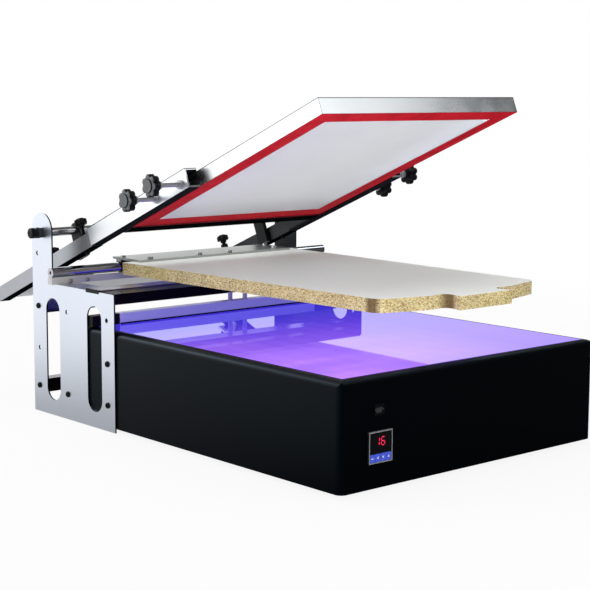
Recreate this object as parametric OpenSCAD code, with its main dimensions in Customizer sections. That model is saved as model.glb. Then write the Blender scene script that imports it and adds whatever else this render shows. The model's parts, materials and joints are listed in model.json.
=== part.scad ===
// Tabletop screen printing machine: an exposure unit with a glowing glass top, two slotted
// side plates that carry a print rail, and a hinged head that holds a stretched screen.
// Inside the modules X runs along the front from the housing's left side, Y runs to the
// rear from the housing's front, and Z runs up from the housing's underside.
// Placed parts stand on the floor at Z = 0 with the origin under the middle of the whole.

/* [Exposure unit] */
// Width of the housing
unit_w = 580; // [540:5:640]
// Depth of the housing
unit_d = 735; // [700:1:740]
// Height of the housing without its feet
unit_h = 170; // [160:1:174]
// Thickness of the housing's sheet metal
sheet_t = 1.5; // [1:0.1:2]
// Outer radius of the housing's bends
bend_r = 12; // [8:0.5:14]
// Width of the metal rim around the glass
rim_w = 14; // [12:0.5:20]
// Thickness of the exposure glass
glass_t = 6; // [4:0.5:8]
// Thickness of the rubber gasket around and under the glass
gasket_t = 1.2; // [0.8:0.1:2]
// Width of the ledge that carries the glass
ledge_w = 11; // [8:0.5:16]
// Thickness of the opal diffuser
diffuser_t = 3; // [2:0.5:4]
// Gap between the diffuser and the ledge above it
diffuser_gap = 0.3; // [0.2:0.1:1]
// Depth of the lamp tray from its floor to the diffuser
tray_h = 50; // [40:1:60]
// Thickness of the lamp tray's sheet
tray_t = 2; // [1.5:0.1:2.5]
// Gap from the housing's front wall to the lamp tray
tray_front = 34; // [30:1:50]
// Gap from the other walls to the lamp tray
tray_side = 16; // [14:1:24]
// Number of lamp strips
strip_count = 10; // [6:1:12]
// Width of a lamp strip
strip_w = 12; // [8:1:16]
// Thickness of a lamp strip's board
strip_t = 1.6; // [1:0.1:2]
// Side of one lamp chip
chip_w = 5; // [3:0.5:6]
// Distance between lamp chips along a strip
chip_pitch = 50; // [40:1:80]
// Distance of the lamp strips' ends from the tray's walls
strip_inset = 40; // [30:1:60]
// Length of the lamp driver
driver_l = 180; // [140:5:220]
// Width of the lamp driver
driver_w = 68; // [50:1:80]
// Height of the lamp driver
driver_h = 42; // [30:1:48]
// Gap from the lamp tray's front to the lamp driver
driver_y = 190; // [170:1:240]
// Gap from the lamp tray's ends to its legs
leg_y = 100; // [80:1:140]

/* [Feet] */
// Height of a rubber foot
foot_h = 8; // [7.5:0.5:12]
// Radius of a rubber foot at its underside
foot_r = 10; // [8:0.5:14]
// Distance of a foot's centre from the housing's sides
foot_inset = 45; // [40:1:60]

/* [Front panel] */
// Side of the square timer bezel
timer_w = 48; // [44:1:52]
// Left edge of the timer bezel
timer_x = 53.5; // [40:0.5:80]
// Lower edge of the timer bezel
timer_z = 39; // [30:0.5:44]
// Height of the timer bezel in front of the panel
bezel_t = 3.5; // [2.5:0.1:5]
// Width of the timer bezel's border
bezel_border = 1.6; // [1.2:0.1:2.4]
// Side of the square timer body behind the panel
timer_body_w = 44.8; // [42:0.1:45]
// Depth of the timer body behind the panel
timer_depth = 78; // [60:1:90]
// Height of the row of timer keys
key_h = 12.5; // [10:0.5:14]
// Number of timer keys
key_count = 4; // [4:1:4]
// Gap around a timer key
key_gap = 0.35; // [0.25:0.05:0.5]
// Travel of a timer key
key_travel = 0.7; // [0.4:0.1:1]
// Width of the power rocker's frame
rocker_w = 19.6; // [17:0.2:22]
// Height of the power rocker's frame
rocker_h = 16.4; // [14:0.2:19]
// Middle of the power rocker along the front
rocker_x = 75.5; // [60:0.5:90]
// Middle of the power rocker above the underside
rocker_z = 119; // [105:0.5:126]
// Angle of the pressed rocker from straight
rocker_angle = 9; // [6:1:11]
// Width of the power inlet's flange
inlet_w = 50; // [46:1:54]
// Height of the power inlet's flange
inlet_h = 25; // [23:0.5:30]
// Middle of the power inlet along the rear wall
inlet_x = 90; // [70:1:140]
// Middle of the power inlet above the underside
inlet_z = 52; // [40:1:70]

/* [Side plates] */
// Thickness of a side plate
plate_t = 3; // [2:0.5:4]
// Reach of the side plates along the housing's sides
plate_overlap = 163.5; // [155:0.5:175]
// Depth of the side plates from front to rear
plate_d = 262.5; // [255:0.5:270]
// Reach of the side plates below the housing's underside
plate_drop = 7; // [5:0.5:7]
// Height of the plates' front edge above the housing's underside
plate_h = 235; // [230:0.5:240]
// Width of the rear posts
post_w = 66; // [60:1:70]
// Rise of the posts' round tops above the pivot
post_rise = 3; // [0:0.5:4]
// Width of the flanges that are bent inwards under the rail's bed
flange_w = 45; // [40:1:48]
// Height of the pivot shaft above the housing's underside
pivot_z = 325.5; // [318:0.5:335]
// Width of the plates' slots
slot_w = 45; // [38:1:48]
// Length of the plates' slots
slot_l = 188; // [160:1:190]
// Lower end of the plates' slots
slot_z = 21; // [18:1:26]
// Middle of the front slot behind the plates' front edge
front_slot_y = 61.5; // [58:0.5:64]
// Middle of the rear slot behind the plates' front edge
rear_slot_y = 195.5; // [192:0.5:198]
// Radius of the tapped spare holes
spare_r = 4.25; // [3:0.05:4.5]

/* [Cross members] */
// Side of the square rear ties
tie_w = 25; // [20:1:26]
// Wall of the rear ties
tie_wall = 2; // [1.5:0.1:3]
// Middle of the rear ties in front of the plates' rear edge
tie_y = 18.5; // [17:0.5:20]
// Middle of the lower rear tie above the housing's underside
lower_tie_z = 42; // [38:0.5:46]
// Middle of the upper rear tie above the housing's underside
upper_tie_z = 190; // [188:0.5:194]
// Depth of the front cross tube
front_tube_d = 40; // [36:1:42]
// Height of the front cross tube
front_tube_h = 17.5; // [15:0.5:20]
// Rise of the front cross tube above the plates
front_tube_rise = 1.2; // [0.8:0.1:2]
// Wall of the cross tubes
tube_wall = 1.8; // [1.5:0.1:2.5]
// Gap between the front and the middle cross tube
tube_gap = 6; // [4:0.5:8]
// Depth of the middle cross tube
mid_tube_d = 40; // [36:1:44]
// Height of the middle cross tube
mid_tube_h = 25; // [22:0.5:26]
// Rise of the middle cross tube above the plates
mid_tube_rise = 3; // [2:0.1:4]
// Thickness of the tubes' end plates
end_plate_t = 4; // [3:0.5:6]
// Side of the low bar that lies across the glass
low_bar_w = 19; // [17:0.5:20]
// Front of the low bar behind the plates' front edge
low_bar_y = 71; // [66:0.5:74]
// Gap between the glass and the low bar
low_bar_gap = 0.5; // [0.3:0.1:1]
// Length of the stop blocks on the low bar's ends
block_l = 58; // [50:1:66]
// Reach of the stop blocks' plugs inside the low bar
block_plug_l = 20; // [15:1:30]

/* [Rail] */
// Diameter of the rail
rail_d = 18; // [16:0.5:20]
// Bore of the rail's tube
rail_bore = 6; // [4:0.5:10]
// Length of the rail beyond the housing's width
rail_over = 77; // [60:1:90]
// Shift of the rail and the pallet to the right of the middle
rail_shift = 26.5; // [20:0.5:30]
// Height of the rail's underside above the side plates' flanges
bed_h = 12.5; // [12:0.5:14]
// Depth of the bar under the rail
bed_w = 14; // [12:0.5:16]
// Reach of the bed beyond the housing's sides
bed_over = 13; // [10:1:16]
// Length of the raised saddles on the bed's ends
saddle_l = 89; // [70:1:89]
// Depth of the saddles' groove for the rail
saddle_lip = 0.7; // [0.5:0.1:1.5]
// Drop of the bed between its saddles below the rail
bed_drop = 2; // [1.8:0.1:3]
// Distance between the two bolts of a saddle
bed_bolt_pitch = 36.5; // [30:0.5:40]
// Middle between the two bolts of a saddle, from the housing's side
bed_bolt_x = 44; // [30:1:50]
// Shank diameter of the saddle bolts
bed_bolt_d = 4; // [3:0.5:5]
// Height of the saddle bolts above the flanges
bed_bolt_z = 4.8; // [4.5:0.1:5.5]

/* [Pallet] */
// Thickness of the pallet board
board_t = 22; // [18:0.5:25]
// Rise of the pallet's top above the rail's axis
board_rise = 14; // [13.5:0.1:15]
// Gap from the housing's sides to the pallet's rear corners, before the shift
rear_margin = 86.5; // [80:0.5:95]
// Gap from the housing's sides to the pallet's shoulders, before the shift
shoulder_margin = 106.5; // [98:0.5:115]
// Gap from the pallet's rear edge to the rail's axis
board_gap = 46.8; // [40:0.1:50]
// Shoulders of the pallet behind the housing's front
shoulder_y = 64.8; // [60:0.1:75]
// Radius of the pallet's shoulder corners
shoulder_r = 24; // [18:1:26]
// Front edge of the pallet's neck behind the housing's front
neck_y = 8; // [5:0.5:14]
// Width of the pallet's neck at its front edge
neck_w = 120; // [110:1:130]
// Width of the pallet's neck at its waist
waist_w = 110; // [100:1:116]
// Front of the shoulder slope behind the housing's front
slope_y = 42; // [38:0.5:46]
// Width of the pallet where the shoulder slope starts
slope_w = 200; // [180:1:220]
// Radius of the concave notch beside the neck
notch_r = 12; // [9:0.5:14]
// Thickness of the steel plate on the pallet
strap_t = 4; // [3:0.5:5]
// Gap from the housing's sides to the pallet's steel plate, before the shift
strap_margin = 109; // [104:0.5:112]
// Reach of the steel plate in front of the rail's axis
strap_reach = 68.8; // [64:0.1:74]
// Overhang of the steel plate behind the rail's axis
strap_rear = 18; // [16:0.5:20]
// Outer radius of the hubs on the rail
hub_r = 12; // [11.6:0.1:12]
// Rise of the hubs' middle above the rail's axis
hub_rise = 1.8; // [1.5:0.1:1.8]
// Outer radius of the lock collars on the rail
collar_r = 13.6; // [12:0.1:13.6]
// Length of a hub
hub_l = 14; // [12:0.5:16]
// Length of a lock collar
collar_l = 10; // [8:0.5:12]
// Diameter of the levelling bolts
leveller_d = 9; // [8:0.5:10]
// Distance between the levelling bolts
leveller_pitch = 35.5; // [30:0.5:60]
// Shift of the levelling bolts to the right of the pallet's middle
leveller_shift = 15.5; // [0:0.5:20]
// Distance from the levelling bolts to the middle tube's rear face
leveller_inset = 8; // [7:0.5:12]
// Thickness of the steel plate's ears over the rail
ear_t = 2; // [1.5:0.1:3]

/* [Head] */
// Tilt of the head as it stands
head_tilt = 22.4; // [22:0.1:24]
// Diameter of the pivot shaft
shaft_d = 16; // [14:0.5:18]
// Underside of the screen below the pivot's axis
screen_drop = 52.3; // [51.8:0.1:52.3]
// Width of the screen frame
screen_w = 442; // [430:1:446]
// Length of the screen frame
screen_l = 533.5; // [500:0.5:550]
// Thickness of the screen frame
screen_t = 27; // [25:0.5:28]
// Width of the screen frame's tube
screen_tube_w = 33.5; // [30:0.5:36]
// Wall of the screen frame's tube
screen_wall = 2; // [1.5:0.1:2.5]
// Thickness of the stretched mesh
mesh_t = 0.5; // [0.4:0.1:0.8]
// Thickness of the red border tape
border_t = 0.4; // [0.3:0.1:0.6]
// Distance from the pivot to the screen frame's rear edge
screen_rear = 180; // [176:0.5:186]
// Gap between the screen frame and the channels
side_gap = 1; // [0.8:0.1:2]
// Width of a channel's flanges
channel_w = 25; // [24:0.5:28]
// Height of a channel
channel_h = 33; // [32:0.5:36]
// Thickness of a channel's web and flanges
channel_t = 3; // [2.5:0.1:3.2]
// Distance from the pivot to a channel's rear end
channel_rear = 78; // [74:0.5:84]
// Distance from the pivot to a channel's front end
channel_front = 392; // [385:1:410]
// Height of a tail arm
arm_h = 27; // [25:0.5:28]
// Wall of a tail arm
arm_wall = 2; // [1.5:0.1:2.5]
// Reach of a tail arm behind the pivot
tail_l = 280; // [260:1:290]
// Reach of a tail arm's tongue inside its channel
tongue_l = 184; // [150:1:190]
// Clearance around the tongue
tongue_gap = 0.2; // [0.1:0.1:0.4]
// Width of the cross bar behind the screen
cross_bar_w = 29; // [26:0.5:29.5]
// Thickness of a pivot lug
lug_t = 8; // [6:0.5:10]
// Half width of a pivot lug
lug_r = 14; // [13:0.5:16]
// Side of the tie between the tail arms
tail_tie_w = 20; // [18:0.5:22]
// Distance from the pivot to the tail tie's middle
tail_tie_s = 262; // [240:1:268]
// Length of the tail screws' brackets along the arms
bracket_l = 22; // [18:1:26]
// Reach of the tail screws' brackets from the arms
bracket_w = 28; // [25:1:32]

/* [Knobs] */
// Diameter of a clamp knob
clamp_knob_d = 40; // [36:1:44]
// Length of a clamp knob
clamp_knob_l = 22; // [18:0.5:24]
// Lobes of a clamp knob
clamp_lobes = 7; // [6:1:8]
// Diameter of a clamp screw
clamp_screw_d = 8; // [7:0.5:9]
// Distance from the left channel's web to its clamp knobs
clamp_reach_left = 47; // [40:1:50]
// Distance from the right channel's web to its clamp knobs
clamp_reach_right = 25; // [20:1:50]
// Distance from the pivot to the rear clamp
clamp_rear = 301; // [295:1:310]
// Distance from the pivot to the front clamp
clamp_front = 374; // [365:1:378]
// Clamp screws below the pivot's axis
clamp_drop = 42; // [41:0.5:42]
// Diameter of a clamp pad
pad_d = 15; // [13:0.5:15]
// Thickness of a clamp pad
pad_t = 5; // [4:0.5:6]
// Diameter of a star knob on the head
star_d = 25; // [22:1:28]
// Height of a star knob on the head
star_h = 16; // [14:0.5:20]
// Lobes of a star knob on the head
star_lobes = 6; // [5:1:7]
// Diameter of the star knobs' screws
star_screw_d = 8; // [7:0.5:9]
// Distance of the tail knobs from the arms
tail_knob_x = 16.5; // [14:0.5:20]
// Distance of the tail knobs behind the pivot
tail_knob_s = 112; // [104:1:120]
// Diameter of the end knobs on the pivot shaft
end_knob_d = 19; // [18.5:0.1:22]
// Length of the end knobs on the pivot shaft
end_knob_l = 13.5; // [12:0.5:16]
// Diameter of the shaft collars outside the plates
shaft_collar_d = 19.4; // [19:0.1:22]
// Length of the shaft collars outside the plates
shaft_collar_l = 11.3; // [10:0.1:14]

/* [Fasteners] */
// Head diameter of the plates' button screws
button_d = 11; // [9:0.5:12]
// Head height of the plates' button screws
button_h = 3.2; // [2.5:0.1:4]
// Shank diameter of the plates' button screws
button_shank = 5.6; // [4:0.2:6]
// Shank reach of the plates' button screws behind a plate
button_reach = 7; // [5:0.5:8]
// Key width across the flats of the button screws
button_hex = 4; // [3:0.5:4]
// Head width across the flats of the pallet's bolts
hex_w = 10; // [8:0.5:12]
// Head height of the pallet's bolts
hex_h = 4; // [3:0.5:5]

/* [Fits] */
// Radial running clearance of turning parts
run_gap = 0.05; // [0.02:0.01:0.08]
// Clearance between parts that are fitted together
fit_gap = 0.3; // [0.2:0.05:0.4]
// Clearance between faces that rest on each other
seat_gap = 0.2; // [0.1:0.05:0.25]

/* [Hidden] */

// Smoothness of round bodies and of small round details
round_fn = 64;
small_fn = 32;
// Overlap that keeps a cut clear of the face that it cuts
cut = 1;

mid_unit = unit_w / 2;

// Side plates and what lines up with them
plate_front = unit_d - plate_overlap;
plate_rear = plate_front + plate_d;
post_front = plate_rear - post_w;
post_r = post_w / 2;
pivot_y = plate_rear - post_r;
tie_mid_y = plate_rear - tie_y;

// Rail, bed and pallet heights
rail_y = post_front - rail_d / 2 - seat_gap;
rail_z = plate_h + bed_h + rail_d / 2;
rail_mid = mid_unit + rail_shift;
rail_l = unit_w + rail_over;
rail_left = rail_mid - rail_l / 2;
rail_right = rail_mid + rail_l / 2;
bed_rear = post_front - 2;
bed_front = bed_rear - bed_w;
saddle_grip = bed_w - 4;
washer_t = 1;
board_top = rail_z + board_rise;
board_bottom = board_top - board_t;
board_rear_y = rail_y - board_gap;
board_rear_w = unit_w - 2 * rear_margin;
board_front_w = unit_w - 2 * shoulder_margin;
strap_w = unit_w - 2 * strap_margin;
strap_front = rail_y - strap_reach;
hub_start = strap_w / 2 - ear_t - seat_gap;

// Cross members
front_tube_top = plate_h + front_tube_rise;
mid_tube_front = plate_front + front_tube_d + tube_gap;
mid_tube_top = plate_h + mid_tube_rise;
mid_tube_rear = mid_tube_front + mid_tube_d;
leveller_y = mid_tube_rear - leveller_inset;
low_bar_front = plate_front + low_bar_y;
low_bar_bottom = unit_h + low_bar_gap;
low_bar_top = low_bar_bottom + low_bar_w;
cap_t = 1.5;
cap_rim = 0.4;

// Head, measured from the pivot: s runs forward along the arms and n at right angles up
screen_left = mid_unit - screen_w / 2;
screen_front = screen_rear + screen_l;
screen_bottom = -screen_drop;
screen_top = screen_bottom + screen_t;
frame_bottom = screen_bottom + border_t + mesh_t;
channel_inner = screen_left - side_gap;
channel_outer = channel_inner - channel_w;
channel_bottom = screen_bottom - 0.7;
channel_top = channel_bottom + channel_h;
arm_bottom = channel_bottom - 1;
arm_top = arm_bottom + arm_h;
arm_outer = channel_outer + 2;
tongue_outer = channel_outer + channel_t + tongue_gap;
tongue_inner = channel_inner - tongue_gap;
tongue_bottom = channel_bottom + channel_t + tongue_gap;
arm_mid = (arm_outer + channel_inner) / 2;
height_s = pivot_y - rail_y;
height_tip = rail_z + rail_d / 2 + fit_gap - pivot_z;
tail_tie_bottom = arm_bottom + 4;
tail_tie_top = tail_tie_bottom + tail_tie_w;
lug_inner = channel_inner + lug_t;
clamp_n = -clamp_drop;

// Screws on the channels' tops, as distances from the pivot
top_screws_s = [channel_rear + 15, channel_rear + 58];

// Star knobs above the arms and the tail tie, their lock nuts and the tail screws' tips
height_knob_rise = 20;
height_nut_h = 6;
tail_knob_rise = 14;
tail_nut_h = 10;
tail_tip_drop = 4;

// Reach of the pivot shaft into its end knobs
knob_grip = 8;

// Box around the whole, which sets the origin
left_end = -plate_t - shaft_collar_l - end_knob_l;
front_end = -bezel_t;
rear_end = pivot_y + tail_l * cos(head_tilt) + arm_top * sin(head_tilt);
origin_x = (left_end + rail_right) / 2;
origin_y = (front_end + rear_end) / 2;

// Button screws on a side plate, as distances from its front edge and heights
tie_screws = [[plate_d - tie_y, lower_tie_z], [plate_d - tie_y, upper_tie_z]];
unit_screws = [[21.5, 39], [21.5, 112], [148.5, 39]];
spare_holes = [[23, 188], [149.5, 188.5], [241.5, 113], [245, 287]];

module placed() {
    translate([-origin_x, -origin_y, foot_h]) children();
}

module mirrored() {
    translate([unit_w, 0, 0]) mirror([1, 0, 0]) children();
}

module on_both_sides() {
    children();
    mirrored() children();
}

module head_placed() {
    placed() translate([0, pivot_y, pivot_z]) rotate([-head_tilt, 0, 0]) children();
}

// Box in head coordinates between two X, two s and two n values
module head_box(x0, x1, s0, s1, n0, n1) {
    translate([x0, -s1, n0]) cube([x1 - x0, s1 - s0, n1 - n0]);
}

module plain_box(from, to) {
    translate(from) cube(to - from);
}

module rounded_plan(w, d, r) {
    translate([r, 0]) square([w - 2 * r, d]);
    translate([0, r]) square([w, d - 2 * r]);
    for (x = [r, w - r], y = [r, d - r])
        translate([x, y]) circle(r, $fn = round_fn);
}

module arched_profile(w, h, r) {
    square([w, h - r]);
    translate([r, 0]) square([w - 2 * r, h]);
    for (x = [r, w - r])
        translate([x, h - r]) circle(r, $fn = round_fn);
}

// Sheet-metal box with rounded corners and rounded top edges
module bent_box(w, d, h, r) {
    intersection() {
        linear_extrude(h) rounded_plan(w, d, r);
        translate([0, d, 0]) rotate([90, 0, 0]) linear_extrude(d) arched_profile(w, h, r);
        rotate([90, 0, 90]) linear_extrude(w) arched_profile(d, h, r);
    }
}

module rod_x(d, l) {
    rotate([0, 90, 0]) cylinder(d = d, h = l, $fn = round_fn);
}

module hex_prism(flats, h) {
    cylinder(d = flats / cos(30), h = h, $fn = 6);
}

module hollow_bar(size, wall) {
    difference() {
        cube(size);
        translate([end_plate_t, wall, wall])
            cube([size[0] - 2 * end_plate_t, size[1] - 2 * wall, size[2] - 2 * wall]);
    }
}

// Outline of a star knob: lobes around a core
module star_outline(d, lobes) {
    lobe_r = d * 0.16;
    circle(d = d * 0.78, $fn = round_fn);
    for (i = [0 : lobes - 1])
        rotate(360 / lobes * i) translate([d / 2 - lobe_r, 0]) circle(lobe_r, $fn = small_fn);
}

// Star knob along Z, with a raised face on top and a boss below
module star_knob(d, h, lobes, bore_d) {
    boss_h = h * 0.3;
    difference() {
        union() {
            cylinder(d = d * 0.5, h = boss_h + cut, $fn = round_fn);
            translate([0, 0, boss_h]) linear_extrude(h - boss_h - h * 0.12) star_outline(d, lobes);
            translate([0, 0, h * 0.88 - cut]) cylinder(d = d * 0.6, h = h * 0.12 + cut, $fn = round_fn);
        }
        translate([0, 0, -cut]) cylinder(d = bore_d, h = cut + h * 0.6, $fn = round_fn);
    }
}

module glass_opening(grow) {
    translate([rim_w - grow, rim_w - grow])
        square([unit_w - 2 * (rim_w - grow), unit_d - 2 * (rim_w - grow)]);
}

module housing() {
    ledge_top = unit_h - glass_t - gasket_t;
    color("#15161a") placed() difference() {
        union() {
            difference() {
                bent_box(unit_w, unit_d, unit_h, bend_r);
                translate([sheet_t, sheet_t, -cut])
                    bent_box(unit_w - 2 * sheet_t, unit_d - 2 * sheet_t,
                             unit_h + cut - sheet_t, bend_r - sheet_t);
            }
            translate([0, 0, ledge_top - sheet_t]) linear_extrude(unit_h - ledge_top)
                glass_opening(sheet_t);
        }
        translate([0, 0, ledge_top]) linear_extrude(unit_h) glass_opening(0);
        translate([0, 0, ledge_top - sheet_t - cut]) linear_extrude(unit_h)
            glass_opening(-ledge_w);
        timer_cutout();
        rocker_cutout();
        inlet_cutout();
        unit_screw_holes();
    }
}

module timer_cutout() {
    side = timer_body_w + 2 * fit_gap;
    translate([timer_x + timer_w / 2 - side / 2, -cut, timer_z + timer_w / 2 - side / 2])
        cube([side, sheet_t + 2 * cut, side]);
}

module rocker_cutout() {
    translate([rocker_x - rocker_w / 2 + 1.5, -cut, rocker_z - rocker_h / 2 + 1.5])
        cube([rocker_w - 3, sheet_t + 2 * cut, rocker_h - 3]);
}

module inlet_cutout() {
    translate([inlet_x - inlet_w / 2 + 10, unit_d - sheet_t - cut, inlet_z - inlet_h / 2 + 2])
        cube([inlet_w - 20, sheet_t + 2 * cut, inlet_h - 4]);
}

module unit_screw_holes() {
    for (p = unit_screws)
        translate([-cut, plate_front + p[0], p[1]])
            rod_x(button_shank + 2 * fit_gap, unit_w + 2 * cut);
}

module base_plate() {
    lip_h = 14;
    gap = sheet_t + fit_gap;
    color("#1b1c20") placed() difference() {
        translate([gap, gap, 0])
            linear_extrude(lip_h) rounded_plan(unit_w - 2 * gap, unit_d - 2 * gap, bend_r - gap);
        translate([gap + sheet_t, gap + sheet_t, sheet_t]) linear_extrude(lip_h)
            rounded_plan(unit_w - 2 * (gap + sheet_t), unit_d - 2 * (gap + sheet_t),
                         bend_r - gap - sheet_t);
        for (x = [foot_inset, unit_w - foot_inset], y = [foot_inset, unit_d - foot_inset])
            translate([x, y, -cut]) cylinder(r = 2.5, h = sheet_t + 2 * cut, $fn = small_fn);
        for (i = [-4 : 4])
            translate([mid_unit + i * 24 - 4, unit_d * 0.62, -cut])
                cube([8, 90, sheet_t + 2 * cut]);
    }
}

module feet() {
    recess_r = foot_r * 0.5;
    color("#222222") placed()
        for (x = [foot_inset, unit_w - foot_inset], y = [foot_inset, unit_d - foot_inset])
            translate([x, y, -foot_h]) difference() {
                cylinder(r1 = foot_r, r2 = foot_r + 1.5, h = foot_h, $fn = round_fn);
                translate([0, 0, -cut]) cylinder(r = recess_r, h = foot_h / 2 + cut, $fn = small_fn);
                cylinder(r = 2.5, h = foot_h + cut, $fn = small_fn);
            }
}

module glass() {
    color("#b9a4ff") placed() translate([0, 0, unit_h - glass_t])
        linear_extrude(glass_t) glass_opening(-gasket_t);
}

module glass_gasket() {
    color("#0c0c0c") placed() translate([0, 0, unit_h - glass_t - gasket_t]) difference() {
        linear_extrude(glass_t + gasket_t - 0.4) glass_opening(0);
        translate([0, 0, gasket_t]) linear_extrude(glass_t) glass_opening(-gasket_t);
        translate([0, 0, -cut]) linear_extrude(glass_t) glass_opening(-ledge_w + 1);
    }
}

module tray_plan(inset) {
    translate([tray_side + inset, tray_front + inset])
        square([unit_w - 2 * (tray_side + inset), unit_d - tray_front - tray_side - 2 * inset]);
}

function tray_top() = unit_h - glass_t - gasket_t - sheet_t - diffuser_gap - diffuser_t;

module diffuser() {
    color("#f1ecff") placed() translate([0, 0, tray_top()])
        linear_extrude(diffuser_t) tray_plan(1);
}

module led_tray() {
    floor_z = tray_top() - tray_h;
    leg_w = 30;
    color("#c9ccd0") placed() {
        difference() {
            translate([0, 0, floor_z]) linear_extrude(tray_h) tray_plan(0);
            translate([0, 0, floor_z + tray_t]) linear_extrude(tray_h) tray_plan(tray_t);
        }
        for (y = [tray_front + leg_y, unit_d - tray_side - leg_y - leg_w])
            difference() {
                plain_box([tray_side + strip_inset, y, sheet_t],
                          [unit_w - tray_side - strip_inset, y + leg_w, floor_z]);
                plain_box([tray_side, y + tray_t, sheet_t - cut],
                          [unit_w - tray_side, y + leg_w - tray_t, floor_z - tray_t]);
            }
    }
}

module led_strips() {
    floor_z = tray_top() - tray_h + tray_t;
    first_y = tray_front + strip_inset;
    run = unit_d - tray_front - tray_side - 2 * strip_inset;
    span = unit_w - 2 * (tray_side + strip_inset);
    color("#e9e6f4") placed() for (i = [0 : strip_count - 1])
        translate([tray_side + strip_inset + span * (i + 0.5) / strip_count, first_y, floor_z]) {
            translate([-strip_w / 2, 0, 0]) cube([strip_w, run, strip_t]);
            for (y = [chip_pitch / 2 : chip_pitch : run - chip_w])
                translate([-chip_w / 2, y, strip_t]) cube([chip_w, chip_w, 1.2]);
        }
}

module led_driver() {
    x0 = mid_unit - driver_l / 2;
    y0 = tray_front + driver_y;
    top = sheet_t + driver_h;
    tab_l = 12;
    tab_t = 2;
    tab_inset = 8;
    vent_count = 8;
    vent_w = 6;
    vent_depth = 2;
    vent_inset = 10;
    vent_pitch = (driver_l - 4 * vent_inset) / vent_count;
    color("#a9adb2") placed() difference() {
        union() {
            plain_box([x0, y0, sheet_t], [x0 + driver_l, y0 + driver_w, top]);
            for (x = [x0 - tab_l, x0 + driver_l])
                plain_box([x, y0 + tab_inset, sheet_t],
                          [x + tab_l, y0 + driver_w - tab_inset, sheet_t + tab_t]);
        }
        for (i = [0 : vent_count - 1])
            translate([x0 + 2 * vent_inset + vent_pitch * (i + 0.5), 0, 0])
                plain_box([-vent_w / 2, y0 + vent_inset, top - vent_depth],
                          [vent_w / 2, y0 + driver_w - vent_inset, top + cut]);
    }
}

// Place on the front panel measured from the timer bezel's lower left corner
module timer_placed() {
    placed() translate([timer_x, -bezel_t, timer_z]) children();
}

module timer_case() {
    inset = (timer_w - timer_body_w) / 2;
    inner = timer_w - 2 * bezel_border;
    pocket_d = bezel_t - 0.6;
    color("#b8bbc0") timer_placed() difference() {
        union() {
            cube([timer_w, bezel_t, timer_w]);
            translate([inset, bezel_t - 0.01, inset])
                cube([timer_body_w, timer_depth, timer_body_w]);
        }
        translate([bezel_border, -cut, bezel_border]) cube([inner, cut + pocket_d, inner]);
        for (z = [inset + 10, inset + timer_body_w - 18])
            translate([inset + 6, bezel_t + timer_depth - 4, z])
                cube([timer_body_w - 12, 5, 8]);
    }
}

module timer_display() {
    inner = timer_w - 2 * (bezel_border + 0.1);
    color("#14161c") timer_placed()
        translate([bezel_border + 0.1, 0.7, bezel_border + key_h + 0.2])
            cube([inner, bezel_t - 1.3, inner - key_h - 0.1]);
}

module timer_key(index) {
    pitch = (timer_w - 2 * bezel_border) / key_count;
    color("#3559b8") timer_placed()
        translate([bezel_border + pitch * (index - 1) + key_gap, 0.5, bezel_border + key_gap])
            cube([pitch - 2 * key_gap, bezel_t - 1.3 - key_travel, key_h - 2 * key_gap]);
}

module timer_key_1() { timer_key(1); }
module timer_key_2() { timer_key(2); }
module timer_key_3() { timer_key(3); }
module timer_key_4() { timer_key(4); }

module rocker_placed() {
    placed() translate([rocker_x, 0, rocker_z]) children();
}

module rocker_frame() {
    body_w = rocker_w - 3.6;
    body_h = rocker_h - 3.6;
    body_d = 24;
    wall = 1.2;
    color("#26272b") rocker_placed() difference() {
        union() {
            translate([-rocker_w / 2, -1.8, -rocker_h / 2]) cube([rocker_w, 1.8, rocker_h]);
            translate([-body_w / 2, -0.01, -body_h / 2]) cube([body_w, body_d, body_h]);
        }
        translate([-body_w / 2 + wall, -1.8 - cut, -body_h / 2 + wall])
            cube([body_w - 2 * wall, cut + 12, body_h - 2 * wall]);
    }
}

module rocker() {
    w = rocker_w - 3.6 - 2 * 1.2 - 2 * fit_gap;
    h = rocker_h - 3.6 - 2 * 1.2 - 1.9;
    color("#4b4d52") rocker_placed() translate([0, 3, 0]) rotate([rocker_angle, 0, 0])
        translate([-w / 2, 0, 0]) rotate([90, 0, 90]) linear_extrude(w)
            difference() {
                union() {
                    translate([-4.6, -h / 2]) square([5.6, h]);
                    circle(3.6, $fn = small_fn);
                }
                translate([-24.5, 0]) circle(20.6, $fn = 128);
            }
}

module power_inlet() {
    body_w = inlet_w - 20 - 2 * fit_gap;
    body_h = inlet_h - 4 - 2 * fit_gap;
    wall = 1.8;
    color("#1d1e20") placed() translate([inlet_x, unit_d, inlet_z]) {
        difference() {
            union() {
                translate([-inlet_w / 2, 0, -inlet_h / 2]) cube([inlet_w, 3, inlet_h]);
                translate([-body_w / 2, -22, -body_h / 2]) cube([body_w, 22.01, body_h]);
            }
            translate([-body_w / 2 + wall, -16, -body_h / 2 + wall])
                cube([body_w - 2 * wall, 20, body_h - 2 * wall]);
            for (x = [-20, 20])
                translate([x, 3 + cut, 0]) rotate([90, 0, 0])
                    cylinder(d = 3.4, h = 3 + 2 * cut, $fn = small_fn);
        }
        for (p = [[-7, -2.6], [0, -0.4], [7, -2.6]])
            translate([p[0] - 0.9, -16.01, p[1]]) cube([1.8, 14, 3]);
    }
}

// Outline of a side plate: X is the distance from its front edge and Y the height
module plate_outline() {
    nose_r = 3;
    translate([0, -plate_drop]) square([plate_d, plate_drop + plate_h - nose_r]);
    translate([nose_r, 0]) square([plate_d - nose_r, plate_h]);
    translate([nose_r, plate_h - nose_r]) circle(nose_r, $fn = small_fn);
    translate([plate_d - post_w, 0]) square([post_w, pivot_z + post_rise]);
    translate([plate_d - post_r, pivot_z + post_rise]) circle(post_r, $fn = round_fn);
}

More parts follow.
